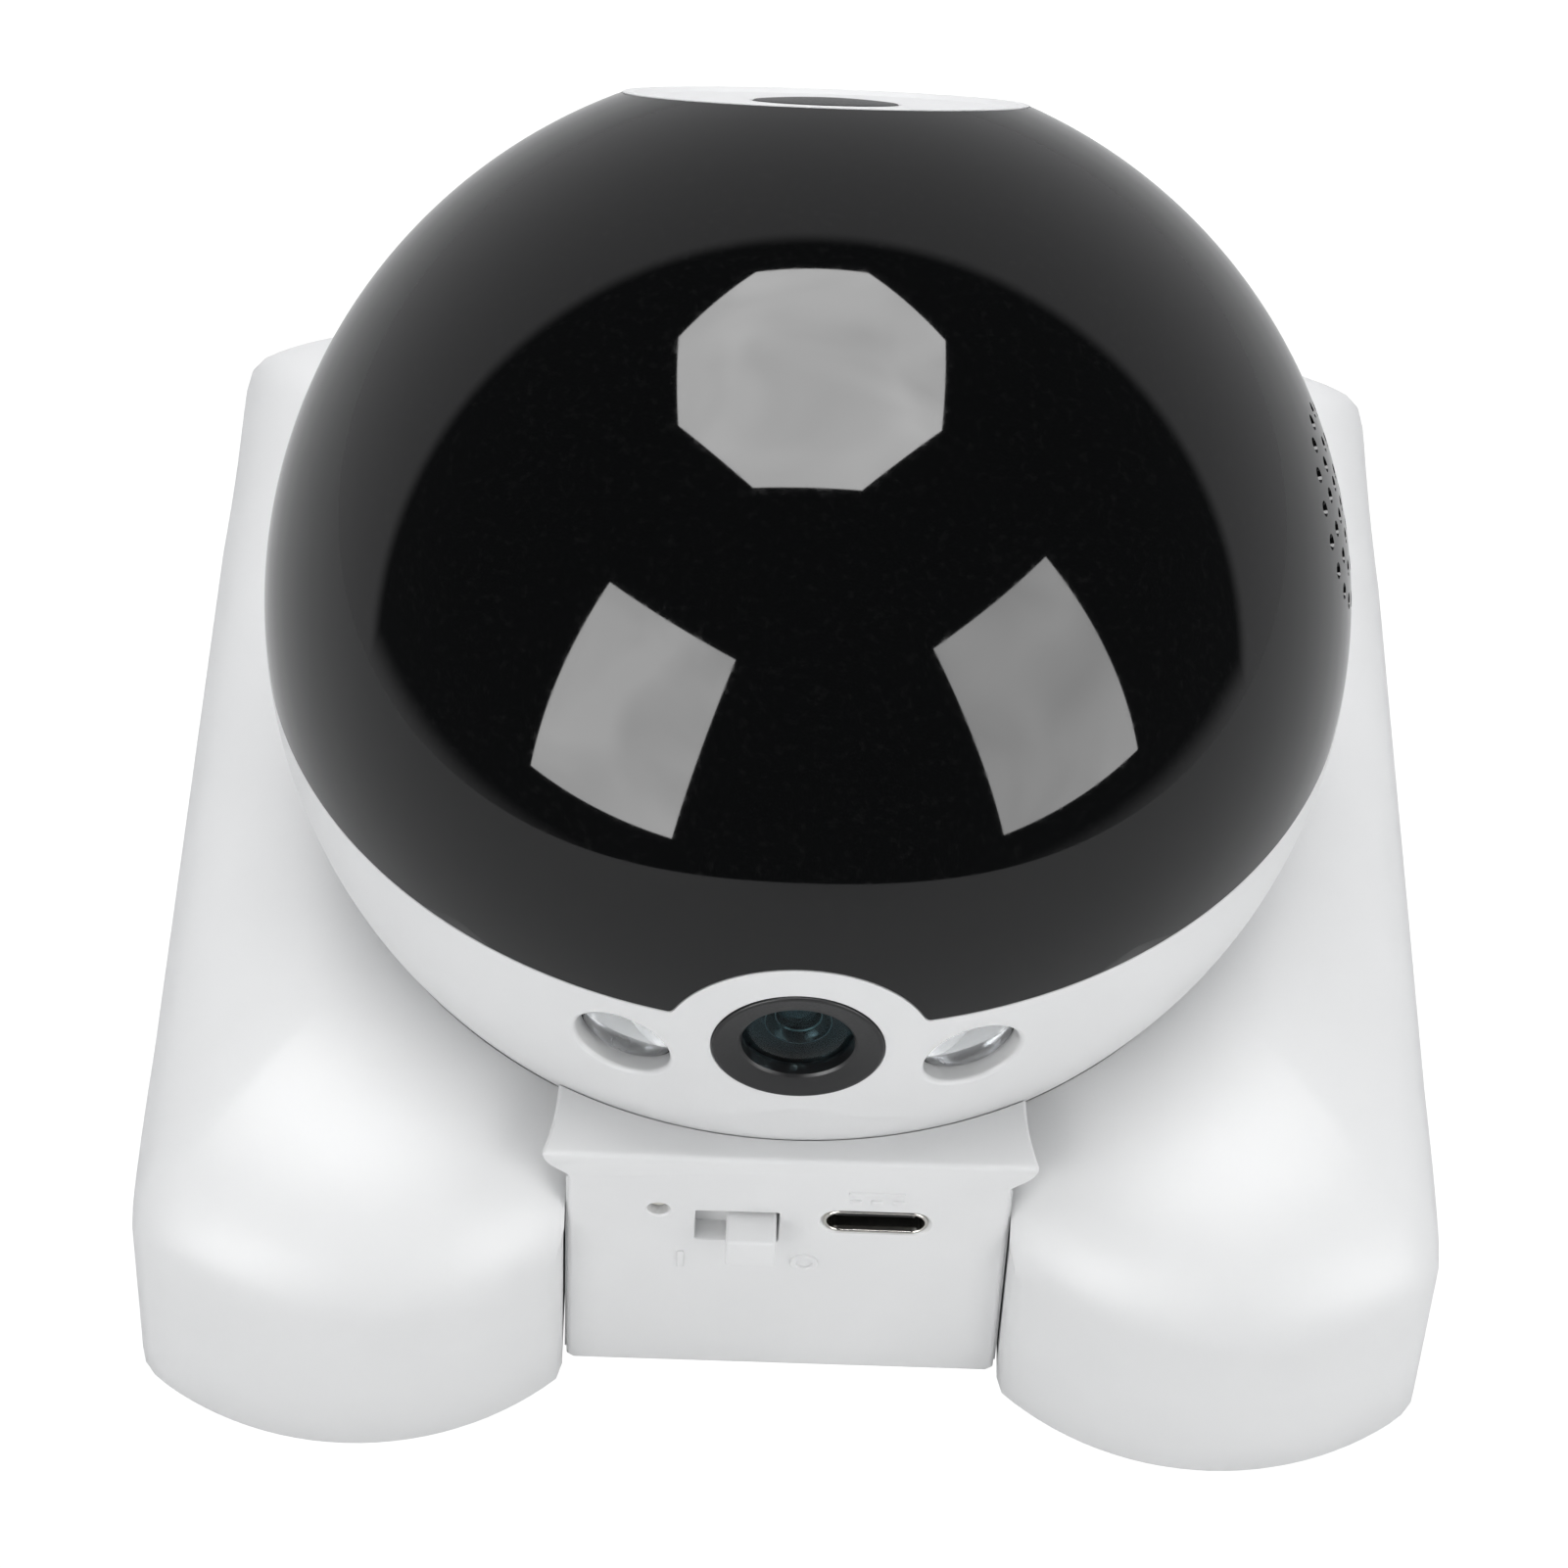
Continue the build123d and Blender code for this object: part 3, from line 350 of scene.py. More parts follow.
def softened(corners, radius, steps=5):
    """Closed outline with its corners rounded: each becomes an arc tangent to its two sides.

    A corner may carry its own radius as a third number.
    """
    corners = [(*c, radius) if len(c) == 2 else c for c in corners]
    points = []
    for k, (x, y, r) in enumerate(corners):
        here = np.array([x, y], float)
        before = np.array(corners[k - 1][:2], float) - here
        after = np.array(corners[(k + 1) % len(corners)][:2], float) - here
        len_a, len_b = np.linalg.norm(before), np.linalg.norm(after)
        if r <= 0 or min(len_a, len_b) < 1e-9:
            points.append(here)
            continue
        before, after = before / len_a, after / len_b
        half = np.arccos(np.clip(before @ after, -1, 1)) / 2
        if half > np.pi / 2 - 0.02:
            points.append(here)
            continue
        cut = min(r / np.tan(half), 0.49 * min(len_a, len_b))
        r = cut * np.tan(half)
        middle = here + (before + after) / np.linalg.norm(before + after) * r / np.sin(half)
        start, end = here + before * cut - middle, here + after * cut - middle
        turn = np.linspace(0, 1, steps + 1)[:, None]
        arc = start * (1 - turn) + end * turn
        points.extend(middle + arc / np.linalg.norm(arc, axis=1)[:, None] * r)
    return np.array(points)


def soft_rectangle(left, right, low, high, radius, steps=5):
    """Rounded rectangle between two widths and two heights."""
    return softened([(left, low), (right, low), (right, high), (left, high)], radius, steps)


def mm_box(node):
    """Lowest and highest corner of a frame node, in millimetres."""
    low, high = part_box(node)
    return np.array(low) / mm, np.array(high) / mm


white_plastic = moulding("white_plastic", (0.82, 0.82, 0.82), (0.86, 0.86, 0.86), 0.46, 5200.0, 6e-6)
rubber = moulding("pad_rubber", (0.018, 0.018, 0.018), (0.032, 0.031, 0.030), 0.75, 3000.0, 3e-5, 0.3)
pads_high = mm_box("rubber_pads")[1]
pad_radius = 5.0
pad_x, pad_y = pads_high[0] - pad_radius, pads_high[1] - pad_radius
pad_top = pads_high[2]
pad_outline = softened([(0, 0, 0), (pad_radius, 0), (pad_radius, pad_top), (0, pad_top, 0)], 0.25)
discs = [lathe(pad_outline, (sx * pad_x, sy * pad_y, 0), (0, 0, 1), 48) for sx in (-1, 1) for sy in (-1, 1)]
pads = build("foot_pads", *joined(discs), rubber, "base", "rubber")
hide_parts("rubber_pads")

# ---- Inner works -----------------------------------------------------------
# Cells, motor, gears, hub, bush, boards, frame and speaker: bought or moulded
# parts screwed to the plate and to the head's frame. They keep their CAD shape.


def metal(name, colour, roughness, scale, stretch=(1, 1, 1)):
    """Plated or drawn metal: faint lines along one direction and uneven gloss."""
    material, skin, new, link = finish_nodes(name, roughness, 0.5, 1.0)
    lines = grain(new, link, scale, 4.0, stretch)
    darker = tuple(0.85 * c for c in colour)
    link(tinted(new, link, lines, darker, colour), skin.inputs["Base Color"])
    link(between(new, link, lines, roughness * 0.7, roughness * 1.3), skin.inputs["Roughness"])
    dented(new, link, skin, lines, 0.3, 5e-6)
    return material


def board_mask(name):
    """Green board: copper tracks show lighter through the mask, as bands of a square grid."""
    material, skin, new, link = finish_nodes(name, 0.35)
    place = new("ShaderNodeTexCoord")
    tracks = new("ShaderNodeTexBrick")
    tracks.inputs["Scale"].default_value = 260.0
    tracks.inputs["Mortar Size"].default_value = 0.05
    tracks.inputs["Color1"].default_value = (0.012, 0.11, 0.05, 1)
    tracks.inputs["Color2"].default_value = (0.015, 0.14, 0.06, 1)
    tracks.inputs["Mortar"].default_value = (0.03, 0.26, 0.12, 1)
    link(place.outputs["Object"], tracks.inputs["Vector"])
    link(tracks.outputs["Color"], skin.inputs["Base Color"])
    dented(new, link, skin, tracks.outputs["Fac"], 0.4, 3e-5)
    return material


finishes = {
    "white_shell": white_plastic,
    "rubber": rubber,
    "black_satin": moulding("black_satin", (0.016, 0.016, 0.017), (0.024, 0.024, 0.025), 0.38, 4000.0, 8e-6),
    "natural_plastic": moulding("acetal", (0.70, 0.68, 0.62), (0.78, 0.76, 0.70), 0.40, 2500.0, 1e-5),
    "speaker_black": moulding("speaker_black", (0.02, 0.02, 0.02), (0.04, 0.04, 0.04), 0.55, 3500.0, 3e-5),
    "foam": moulding("foam", (0.03, 0.03, 0.03), (0.08, 0.08, 0.08), 0.95, 1800.0, 2e-4, 0.2),
    "cell_wrap": moulding("cell_wrap", (0.03, 0.20, 0.40), (0.05, 0.26, 0.48), 0.22, 900.0, 2e-5),
    "lens_metal": metal("black_anodised", (0.045, 0.045, 0.048), 0.38, 900.0),
    "aluminium_board": metal("white_masked_aluminium", (0.80, 0.80, 0.78), 0.45, 700.0),
    "steel": metal("zinc_plate", (0.62, 0.63, 0.65), 0.30, 1500.0),
    "circuit_board": board_mask("green_board"),
}
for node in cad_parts.values():
    slot = node.data.materials[0].name
    if slot in finishes:
        node.data.materials[0] = finishes[slot]
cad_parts["switch_body"].data.materials[0] = finishes["natural_plastic"]

# ---- Feet ------------------------------------------------------------------
# Two long white mouldings, mirror images, screwed to the plate from below. Each
# is a hollow pillow with a domed nose and tail, scooped out to clear the ball.

white_slot = "white_shell"
dome_high = mm_box("top_dome")[1]
foot_low, foot_high = mm_box("foot_right")
ball_radius = dome_high[0]
ball_z = dome_high[2] - ball_radius
ball_centre = np.array([0, 0, ball_z])
socket_radius = ball_radius + 0.09
socket_floor = mm_box("centre_block")[1][2] - 6.0
foot_inner_x = foot_low[0]
foot_width = 37.3
foot_half = foot_width / 2
foot_axis_x = foot_inner_x + foot_half
nose_radius = 26.3
nose_y = foot_high[1] - nose_radius
side_lean = np.tan(np.radians(2.2))
wall_top = 20.0
crown_top = 32.0
crown_power = 2.1
foot_wall = 2.0
deck_wall, deck_floor = 1.9, 1.2
hollow_bottom = -8.0
shell_bottom = foot_low[2]
foot_edge = 0.3
crease = 34.0


def crown(share):
    """Height share of the crown: the superellipse (1 - share^p)^(1/p)."""
    return np.clip(1 - share ** crown_power, 0, None) ** (1 / crown_power)


def foot_mesh(inset, low, edge):
    """Closed foot: rays leave the crest line square to it, and each one follows the crown.

    A ray's reach is the nose radius, or less where the leaning outer wall is nearer (a
    smooth least of the two), and on the inner side the ray stops at the flat wall. Along a
    ray the height falls from the crest by the superellipse, runs down the wall, turns in
    under a small edge and comes back to a line below the crest.
    """
    arc = np.linspace(-np.pi / 2, 0, 30)
    run = np.linspace(-nose_y, nose_y, 50)[1:-1]
    outer_angle = np.concatenate([arc, 0 * run, -arc[::-1]])
    outer_seat = np.concatenate([0 * arc - nose_y, run, 0 * arc + nose_y])
    angle = np.concatenate([outer_angle, np.pi - outer_angle[-2:0:-1]])
    seat = np.concatenate([outer_seat, outer_seat[-2:0:-1]])
    reach_nose = np.full(len(angle), nose_radius - inset)
    cosine = np.cos(angle)
    tip_y = seat + np.sin(angle) * reach_nose
    wall_gap = foot_half - inset - (tip_y + nose_y + nose_radius) * side_lean
    outward = cosine > 1e-6
    to_wall = np.where(outward, wall_gap / np.where(outward, cosine, 1), 1e6)
    sharpness = 30.0
    reach = (reach_nose ** -sharpness + to_wall ** -sharpness) ** (-1 / sharpness)
    stop = np.where(cosine < -1e-6, (foot_half - inset) / np.where(cosine < -1e-6, -cosine, 1), 1e6)
    most = np.minimum(stop / reach, 1.0)
    steps = np.sin(np.linspace(0, np.pi / 2, 34))[None, :] * most[:, None]
    rise = crown_top - inset - wall_top
    radial = steps * reach[:, None]
    height = wall_top + rise * crown(steps)
    last_r, last_z = radial[:, -1:], height[:, -1:]
    turn = np.linspace(0, np.pi / 2, 4)[None, 1:]
    soft = edge * (most < 0.999)[:, None]
    radial[:, -1:] -= 0.6 * soft
    down = last_z - soft * 1.2 + 0 * turn[:, :1]
    wall_z = np.concatenate([down, low + edge + (down - low - edge) * 0.5, low + edge + 0 * down], 1)
    foot_r = last_r - edge * (1 - np.cos(turn))
    foot_z = low + edge * (1 - np.sin(turn)) + 0 * foot_r
    radial = np.concatenate([radial, last_r + 0 * wall_z, foot_r, 0 * last_r], 1)
    height = np.concatenate([height, wall_z, foot_z, 0 * last_z + low], 1)
    points = np.stack([foot_axis_x + radial * cosine[:, None],
                       seat[:, None] + radial * np.sin(angle)[:, None], height], -1)
    return points, quads(points.shape[0], points.shape[1], True, False)


def closed_solid(name, points, faces):
    """Bare mesh object with no body, for cutting or joining."""
    return build(name, points, faces, white_plastic, None, None)


def combine(piece, others, operation):
    """Joins or cuts solids one after another, keeps the outcome as plain mesh, removes the tools."""
    for other in others:
        change = piece.modifiers.new("change", "BOOLEAN")
        change.operation = operation
        change.solver = "MANIFOLD"
        change.object = other
        bpy.context.view_layer.update()
        finished = piece.evaluated_get(bpy.context.evaluated_depsgraph_get())
        done = bpy.data.meshes.new_from_object(finished)
        piece.modifiers.clear()
        piece.data = done
        bpy.data.objects.remove(other)
    piece.data.name = piece.name
    return piece


def ball_solid(radius, low):
    """Ball on the socket's centre, cut flat below: rings of latitude from the flat up to the pole."""
    bottom = np.arcsin((low - ball_z) / radius)
    latitude = np.linspace(bottom, np.pi / 2, 72)
    outline = np.stack([radius * np.cos(latitude), radius * np.sin(latitude)], 1)
    outline[-1, 0] = 0
    outline = np.concatenate([[(0, low - ball_z)], outline])
    return spun(outline, ball_centre, (0, 0, 1), 200)


for side, name in ((1, "right"), (-1, "left")):
    mirror = np.array([side, 1, 1])
    points, faces = foot_mesh(0, shell_bottom, foot_edge)
    foot = closed_solid(f"foot_moulding_{name}", points * mirror, faces)
    hollow_points, hollow_faces = foot_mesh(foot_wall, hollow_bottom, foot_edge)
    hollow = closed_solid("hollow", hollow_points * mirror, hollow_faces)
    scoop_wall = closed_solid("scoop_wall", *ball_solid(ball_radius + deck_wall, socket_floor - deck_floor))
    combine(hollow, [scoop_wall], "DIFFERENCE")
    scoop = closed_solid("scoop", *ball_solid(socket_radius, socket_floor))
    combine(foot, [hollow, scoop], "DIFFERENCE")
    smooth(foot, crease)
    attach(foot, "base")
    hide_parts(f"foot_{name}")

# ---- Centre block ----------------------------------------------------------
# The white moulding between the feet. Its front is the connection panel, its top
# flares over the feet, and its hollow carries the ball's bearing on a deck.

block_high = mm_box("centre_block")[1]
panel_y = mm_box("usb_shell")[0][1]
block_half = foot_inner_x - 0.2
block_top = block_high[2]
flare = block_high[0] - block_half
flare_depth = 7.0
flare_start, flare_rise = 3.4, 2.9
flare_rest, flare_fade = 0.42, 2.6
block_wall = 2.0
panel_mouths = {"window": 0.08, "port": 0.35, "pinhole": 0.15}


def block_section(flare_out, inset):
    """Outline of one slice: straight sides, then an S-curve out to the flared rim at the top."""
    half = block_half - inset
    top = block_top - inset
    low = shell_bottom + inset
    bend = np.linspace(0, 1, 9)
    sway = bend * bend * (3 - 2 * bend)
    right = np.stack([half + flare_out * sway, top - flare_start + bend * flare_rise], 1)
    rim = np.array([(half + flare_out, top - 0.25), (half + flare_out - 0.25, top), (half - 3, top)])
    side_points = np.concatenate([[(half - 0.5, low), (half, low + 0.5), (half, low + 12)], right, rim])
    return np.concatenate([side_points, side_points[::-1] * (-1, 1)])


def block_mesh():
    """Slices from front to rear: the flare dies away exponentially behind each end, the ends are rounded."""
    length = -panel_y
    rounding = 0.45
    turn = np.linspace(0, np.pi / 2, 5)
    back = np.linspace(0, 1, 16)[1:]
    stations = [(-length + rounding * (1 - np.cos(t)), rounding * (1 - np.sin(t))) for t in turn]
    stations += [(-length + rounding + b * (flare_depth + 6 - rounding), 0) for b in back]
    stations = stations + [(-y, inset) for y, inset in stations[::-1]]
    slices = []
    for y, inset in stations:
        away = (length - abs(y)) / flare_depth
        out = flare * (flare_rest + (1 - flare_rest) * np.exp(-flare_fade * away ** 1.3))
        outline = block_section(out, inset)
        slices.append(np.stack([outline[:, 0], np.full(len(outline), y), outline[:, 1]], 1))
    points = np.array(slices)
    count = points.shape[1]
    faces = quads(points.shape[0], count, False, True)
    faces += [list(range(count))[::-1], list(range((len(slices) - 1) * count, len(slices) * count))]
    return points, faces


def brick(low, high):
    """Plain box between two corners, for cutting."""
    x, y, z = np.array([low, high], float).T
    points = np.array([(x[i], y[j], z[k]) for i in (0, 1) for j in (0, 1) for k in (0, 1)])
    faces = [[0, 1, 3, 2], [4, 6, 7, 5], [0, 4, 5, 1], [2, 3, 7, 6], [0, 2, 6, 4], [1, 5, 7, 3]]
    return points, faces


def panel_plug(outline, x, z, front, back, mouth):
    """Cutter square to the panel: an outline carried inwards, wider at its mouth by a rounding."""
    turn = np.linspace(0, np.pi / 2, 5)
    depth = np.concatenate([[front], panel_y + mouth * np.sin(turn), [back]])
    grow = np.concatenate([[mouth], mouth * (1 - np.sin(turn)), [0]])
    away = outline - outline.mean(0)
    reach = np.linalg.norm(away, axis=1)[:, None]
    rows = []
    for y, g in zip(depth, grow):
        grown = outline + away / reach * g
        rows.append(np.stack([grown[:, 0] + x, np.full(len(grown), y), grown[:, 1] + z], 1))
    points = np.array(rows)
    count = points.shape[1]
    faces = quads(len(rows), count, False, True)
    faces += [list(range(count)), list(range((len(rows) - 1) * count, len(rows) * count))]
    return points, faces


def slot_outline(width, height, count=12):
    """Long hole: two half circles joined by straight sides."""
    r = height / 2
    turn = np.linspace(-np.pi / 2, np.pi / 2, count)
    right = np.stack([width / 2 - r + r * np.cos(turn), r * np.sin(turn)], 1)
    return np.concatenate([right, -right])


usb_low, usb_high = mm_box("usb_shell")
port_x, port_z = (usb_low[0] + usb_high[0]) / 2, (usb_low[2] + usb_high[2]) / 2
port_width, port_height = usb_high[0] - usb_low[0], usb_high[2] - usb_low[2]
stem_low, stem_high = mm_box("reset_plunger")
pinhole_x, pinhole_z = (stem_low[0] + stem_high[0]) / 2, (stem_low[2] + stem_high[2]) / 2
pinhole_radius = (stem_high[0] - stem_low[0]) / 2 + 0.25
knob_x, knob_z = -3.075, 22.8
knob_width, knob_height = 4.25, 3.6
knob_travel, knob_gap, window_height = 2.4, 0.25, 4.5
window_left = knob_x - knob_width / 2 - knob_travel - knob_gap
window_right = knob_x + knob_width / 2 + knob_gap
turn = np.linspace(0, 2 * np.pi, 40, endpoint=False)
round_outline = np.stack([np.cos(turn), np.sin(turn)], 1)
window_x, window_half = (window_left + window_right) / 2, (window_right - window_left) / 2
openings = {"window": (soft_rectangle(-window_half, window_half, -window_height / 2, window_height / 2, 0.3),
                       window_x, knob_z),
            "port": (slot_outline(port_width, port_height), port_x, port_z),
            "pinhole": (round_outline * pinhole_radius, pinhole_x, pinhole_z)}
panel_back = panel_y + block_wall

block = closed_solid("centre_moulding", *block_mesh())
hollow = closed_solid("hollow", *brick((-block_half + block_wall, panel_back, hollow_bottom),
                                       (block_half - block_wall, -panel_back, block_top - block_wall)))
deck = closed_solid("deck", *ball_solid(ball_radius + deck_wall, socket_floor - deck_floor))
combine(hollow, [deck], "DIFFERENCE")
cutters = [hollow, closed_solid("scoop", *ball_solid(socket_radius, socket_floor))]
cutters += [closed_solid(name, *panel_plug(*place, panel_y - 1, panel_back + 1, panel_mouths[name]))
            for name, place in openings.items()]
combine(block, cutters, "DIFFERENCE")

bush_low, bush_high = mm_box("pan_bush")
bush_radius, bush_bottom = bush_high[0], bush_low[2]
boss_radius, boss_top = bush_radius + 2, socket_floor - 0.7
boss_outline = [(0, bush_bottom), (boss_radius, bush_bottom), (boss_radius, boss_top), (0, boss_top)]
bore_outline = [(0, bush_bottom - 1), (bush_radius, bush_bottom - 1), (bush_radius, socket_floor + 1),
                (0, socket_floor + 1)]
tongue_inner, tongue_outer = block_half - 0.5, foot_inner_x - 0.03
tongue_front, tongue_back = panel_y + 0.8, panel_y + 1.8
tongue_bottom, tongue_top = 1.4, block_top - 4.5
fillers = [closed_solid("boss", *lathe(boss_outline, (0, 0, 0), (0, 0, 1)))]
for left, right in ((-tongue_outer, -tongue_inner), (tongue_inner, tongue_outer)):
    fillers.append(closed_solid("tongue", *brick((left, tongue_front, tongue_bottom),
                                                 (right, tongue_back, tongue_top))))
combine(block, fillers, "UNION")
combine(block, [closed_solid("bush_bore", *lathe(bore_outline, (0, 0, 0), (0, 0, 1)))], "DIFFERENCE")
smooth(block, crease)
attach(block, "base")
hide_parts("centre_block")

# ---- Panel marks -----------------------------------------------------------
# Low raised signs moulded on the panel: a stroke and a ring for on and off, and
# the direct-current sign, a bar over three dashes, above the port.

mark_height, mark_root = 0.25, 0.2
stroke_and_ring_z, bar_z, dash_z = 17.5, 28.4, 27.3


def raised_mark(outline, x, z):
    """Pillow-edged plate on the panel: an outline carried outwards and drawn in at its top."""
    centre = outline.mean(0)
    away = outline - centre
    narrowest = np.abs(away).max(0).min()
    steps = ((-mark_root, 0), (mark_height * 0.6, 0), (mark_height * 0.9, 0.04), (mark_height, 0.10))
    rows = []
    for out, shrink in steps:
        flat = centre + away * (1 - shrink / narrowest)
        rows.append(np.stack([flat[:, 0] + x, np.full(len(flat), panel_y - out), flat[:, 1] + z], 1))
    points = np.array(rows)
    count = points.shape[1]
    faces = quads(len(rows), count, False, True)
    faces += [list(range((len(rows) - 1) * count, len(rows) * count)), list(range(count))]
    return points, faces


def bar(width, height):
    """Small rectangle with rounded corners."""
    w, h = width / 2, height / 2
    return soft_rectangle(-w, w, -h, h, min(w, h) * 0.6, 3)


def raised_ring(radius, width, x, z):
    """Ring on the panel: a domed outline turned about the ring's centre."""
    outline = softened([(radius - width, -mark_root, 0), (radius, -mark_root, 0), (radius, mark_height),
                        (radius - width, mark_height)], 0.1, 3)
    return lathe(outline, (x, panel_y, z), (0, -1, 0), 48)


marks = [raised_mark(bar(0.6, 2.4), -9.0, stroke_and_ring_z), raised_ring(1.2, 0.5, 1.6, stroke_and_ring_z),
         raised_mark(bar(4.8, 0.5), port_x, bar_z)]
marks += [raised_mark(bar(1.0, 0.5), port_x + x, dash_z) for x in (-1.8, 0, 1.8)]
build("panel_signs", *joined(marks), white_plastic, "base", white_slot)

# ---- Charging port ---------------------------------------------------------
# A drawn steel shell with a rolled lip, flush with the panel, round a black
# insulator and its contact tongue. It is soldered to the power board.

nickel = metal("bright_nickel", (0.72, 0.70, 0.66), 0.18, 2200.0)
port_sheet = 0.3
port_depth = usb_high[1] - usb_low[1]


def port_shell():
    """Slot outline whose wall section is carried round it: the lip's corners are rounded."""
    corners = [(0, 0), (0, port_depth), (-port_sheet, port_depth), (-port_sheet, 0)]
    section = softened(corners, 0.12, 4)
    rows = []
    for inward, depth in section:
        outline = slot_outline(port_width + 2 * inward, port_height + 2 * inward)
        rows.append(np.stack([outline[:, 0] + port_x, np.full(len(outline), panel_y + depth),
                              outline[:, 1] + port_z], 1))
    points = np.array(rows)
    return points, quads(points.shape[0], points.shape[1], True, True)


shell = build("port_shell", *port_shell(), nickel, "base", "steel")
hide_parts("usb_shell")

# ---- Slide switch knob -----------------------------------------------------
# A small white cap that stands out of the window, pushed on the switch's stem, and
# a white shutter strip behind the window that closes the view past the cap.


def soft_block(low, high, radius, count=8):
    """Box with round edges and corners: a small ball's points, each moved to its corner of an inner box."""
    low, high = np.array(low, float), np.array(high, float)
    quarter = np.linspace(0, np.pi / 2, count)
    around = np.concatenate([quarter + k * np.pi / 2 for k in range(4)])
    upward = np.concatenate([quarter - np.pi / 2, quarter])
    sign_x = np.repeat([1, -1, -1, 1], count)
    sign_y = np.repeat([1, 1, -1, -1], count)
    sign_z = np.repeat([-1, 1], count)
    turn, lift = around[:, None], upward[None, :]
    normal = np.stack([np.cos(turn) * np.cos(lift), np.sin(turn) * np.cos(lift), np.sin(lift) + 0 * turn], -1)
    sign = np.stack([sign_x[:, None] + 0 * lift, sign_y[:, None] + 0 * lift, sign_z[None, :] + 0 * turn], -1)
    centre, half = (low + high) / 2, (high - low) / 2
    points = centre + sign * (half - radius) + normal * radius
    rows, columns = points.shape[:2]
    faces = quads(rows, columns, True, False)
    faces += [[r * columns for r in range(rows)][::-1], [r * columns + columns - 1 for r in range(rows)]]
    return points, faces


knob_front = mm_box("switch_knob")[0][1]
shutter_reach = 0.8
knob_cap = build("knob_cap", *soft_block((knob_x - knob_width / 2, knob_front, knob_z - knob_height / 2),
                                         (knob_x + knob_width / 2, panel_back - 0.15, knob_z + knob_height / 2),
                                         0.28), white_plastic, "power_knob", white_slot)
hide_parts("switch_knob")
shutter_half = window_height / 2 + 0.6
shutter = soft_block((window_left - shutter_reach, panel_back - 0.02, knob_z - shutter_half),
                     (window_right + shutter_reach, panel_back + 0.45, knob_z + shutter_half), 0.1, 4)
build("window_shutter", *shutter, white_plastic, "base", white_slot)

# ---- Lower shell of the head -----------------------------------------------
# The white half of the ball: one moulding with the brow round the lens, bores for
# the two lamps and a flat floor that the hub is screwed to.

flat_axis = np.array([0, 1, 1]) / np.sqrt(2)
across_axis = np.array([1.0, 0, 0])
down_axis = np.cross(flat_axis, across_axis)
head_wall = 2.2
head_floor = mm_box("lower_shell")[0][2]
split_normal = np.array([0, np.sin(np.radians(7.66)), np.cos(np.radians(7.66))])
split_drop = 2.85
brow_radius = 10.0
brow_spread = 0.86
brow_bearing = 0.297
corner_blend = np.radians(0.7)
lip_gap, lip_round = 0.04, 0.14
hub_hole = 9.05
lens_axis = np.array([0, -1.0, 0])
front = -np.pi / 2
spread = np.linspace(-1, 1, 640, endpoint=False)
bearing = front + np.pi * (0.22 * spread + 0.78 * spread ** 3)


def meeting(axis, level):
    """Where each meridian meets the cone of directions whose product with the axis is level.

    The middle angle, the swing either side of it and the size of the product's wave.
    """
    along = flat_axis @ axis
    aside = np.cos(bearing) * (across_axis @ axis) + np.sin(bearing) * (down_axis @ axis)
    size = np.hypot(along, aside)
    return np.arctan2(aside, along), np.arccos(np.clip(level / size, -1, 1)), size


def split_line(radius):
    """Parting line of the ball on a sphere of this radius, as an angle for each meridian.

    The plane and the brow's circle each give an angle; the smaller one counts, with the
    corner between them rounded by a smooth least value.
    """
    base, swing, _ = meeting(split_normal, -split_drop / radius)
    plane = base + swing
    wide = brow_radius + brow_spread * np.minimum((bearing - front) / brow_bearing, 1.5) ** 2
    level = np.sqrt(1 - (wide / radius) ** 2)
    base, swing, size = meeting(lens_axis, level)
    brow = np.where(size > level, base - swing, np.pi)
    brow = np.where(np.abs(bearing - front) < 0.5, brow, np.pi)
    gap = np.clip(corner_blend - np.abs(plane - brow), 0, None)
    return np.minimum(plane, brow) - gap * gap / (4 * corner_blend)


def floor_line(radius, level):
    """Where each meridian of the ball reaches a height, as an angle from the flat's axis."""
    base, swing, _ = meeting(np.array([0, 0, 1.0]), (level - ball_z) / radius)
    return base + swing


def on_ball(radius, angle):
    """Points at an angle from the flat's axis on each meridian, rows by meridians."""
    angle = np.atleast_2d(angle)
    aside = np.cos(bearing)[:, None] * across_axis + np.sin(bearing)[:, None] * down_axis
    return ball_centre + radius * (np.cos(angle)[..., None] * flat_axis + np.sin(angle)[..., None] * aside)


def rows_between(radius, start, end, count):
    """Rows of points from one angle to another, evenly spaced on each meridian."""
    share = np.linspace(0, 1, count)[:, None]
    return on_ball(radius, start * (1 - share) + end * share)


def lip(angle, radius, away):
    """Rounded edge along the parting line: a quarter turn from the skin in to the edge's face."""
    turn = np.linspace(0, np.pi / 2, 5)[:, None]
    step = (lip_gap + lip_round * (1 - np.sin(turn))) / radius
    rows = [on_ball(radius - lip_round * (1 - np.cos(t)), angle + away * s) for t, s in zip(turn, step)]
    return np.concatenate(rows)


def lower_shell_mesh():
    """Closed skin: down the outside from the parting line, across the floor, up the inside to the lip."""
    top = split_line(ball_radius)
    bottom = floor_line(ball_radius, head_floor)
    outside = rows_between(ball_radius, top + 0.2 / ball_radius, bottom, 90)
    edge = outside[-1]
    share = np.linspace(0, 1, 5)[1:, None, None]
    ring = edge * (1, 1, 0)
    ring = ring / np.linalg.norm(ring, axis=1)[:, None] * hub_hole + (0, 0, head_floor)
    floor = edge * (1 - share) + ring * share
    inner = ball_radius - head_wall
    inside_top = split_line(inner) + lip_gap / inner
    inside_bottom = floor_line(inner, head_floor + head_wall)
    inner_ring = ring + (0, 0, head_wall)
    inside = rows_between(inner, inside_bottom, inside_top, 24)
    rows = np.concatenate([lip(top, ball_radius, 1)[::-1], outside[1:], floor, inner_ring[None], inside])
    return rows, quads(rows.shape[0], rows.shape[1], True, True)


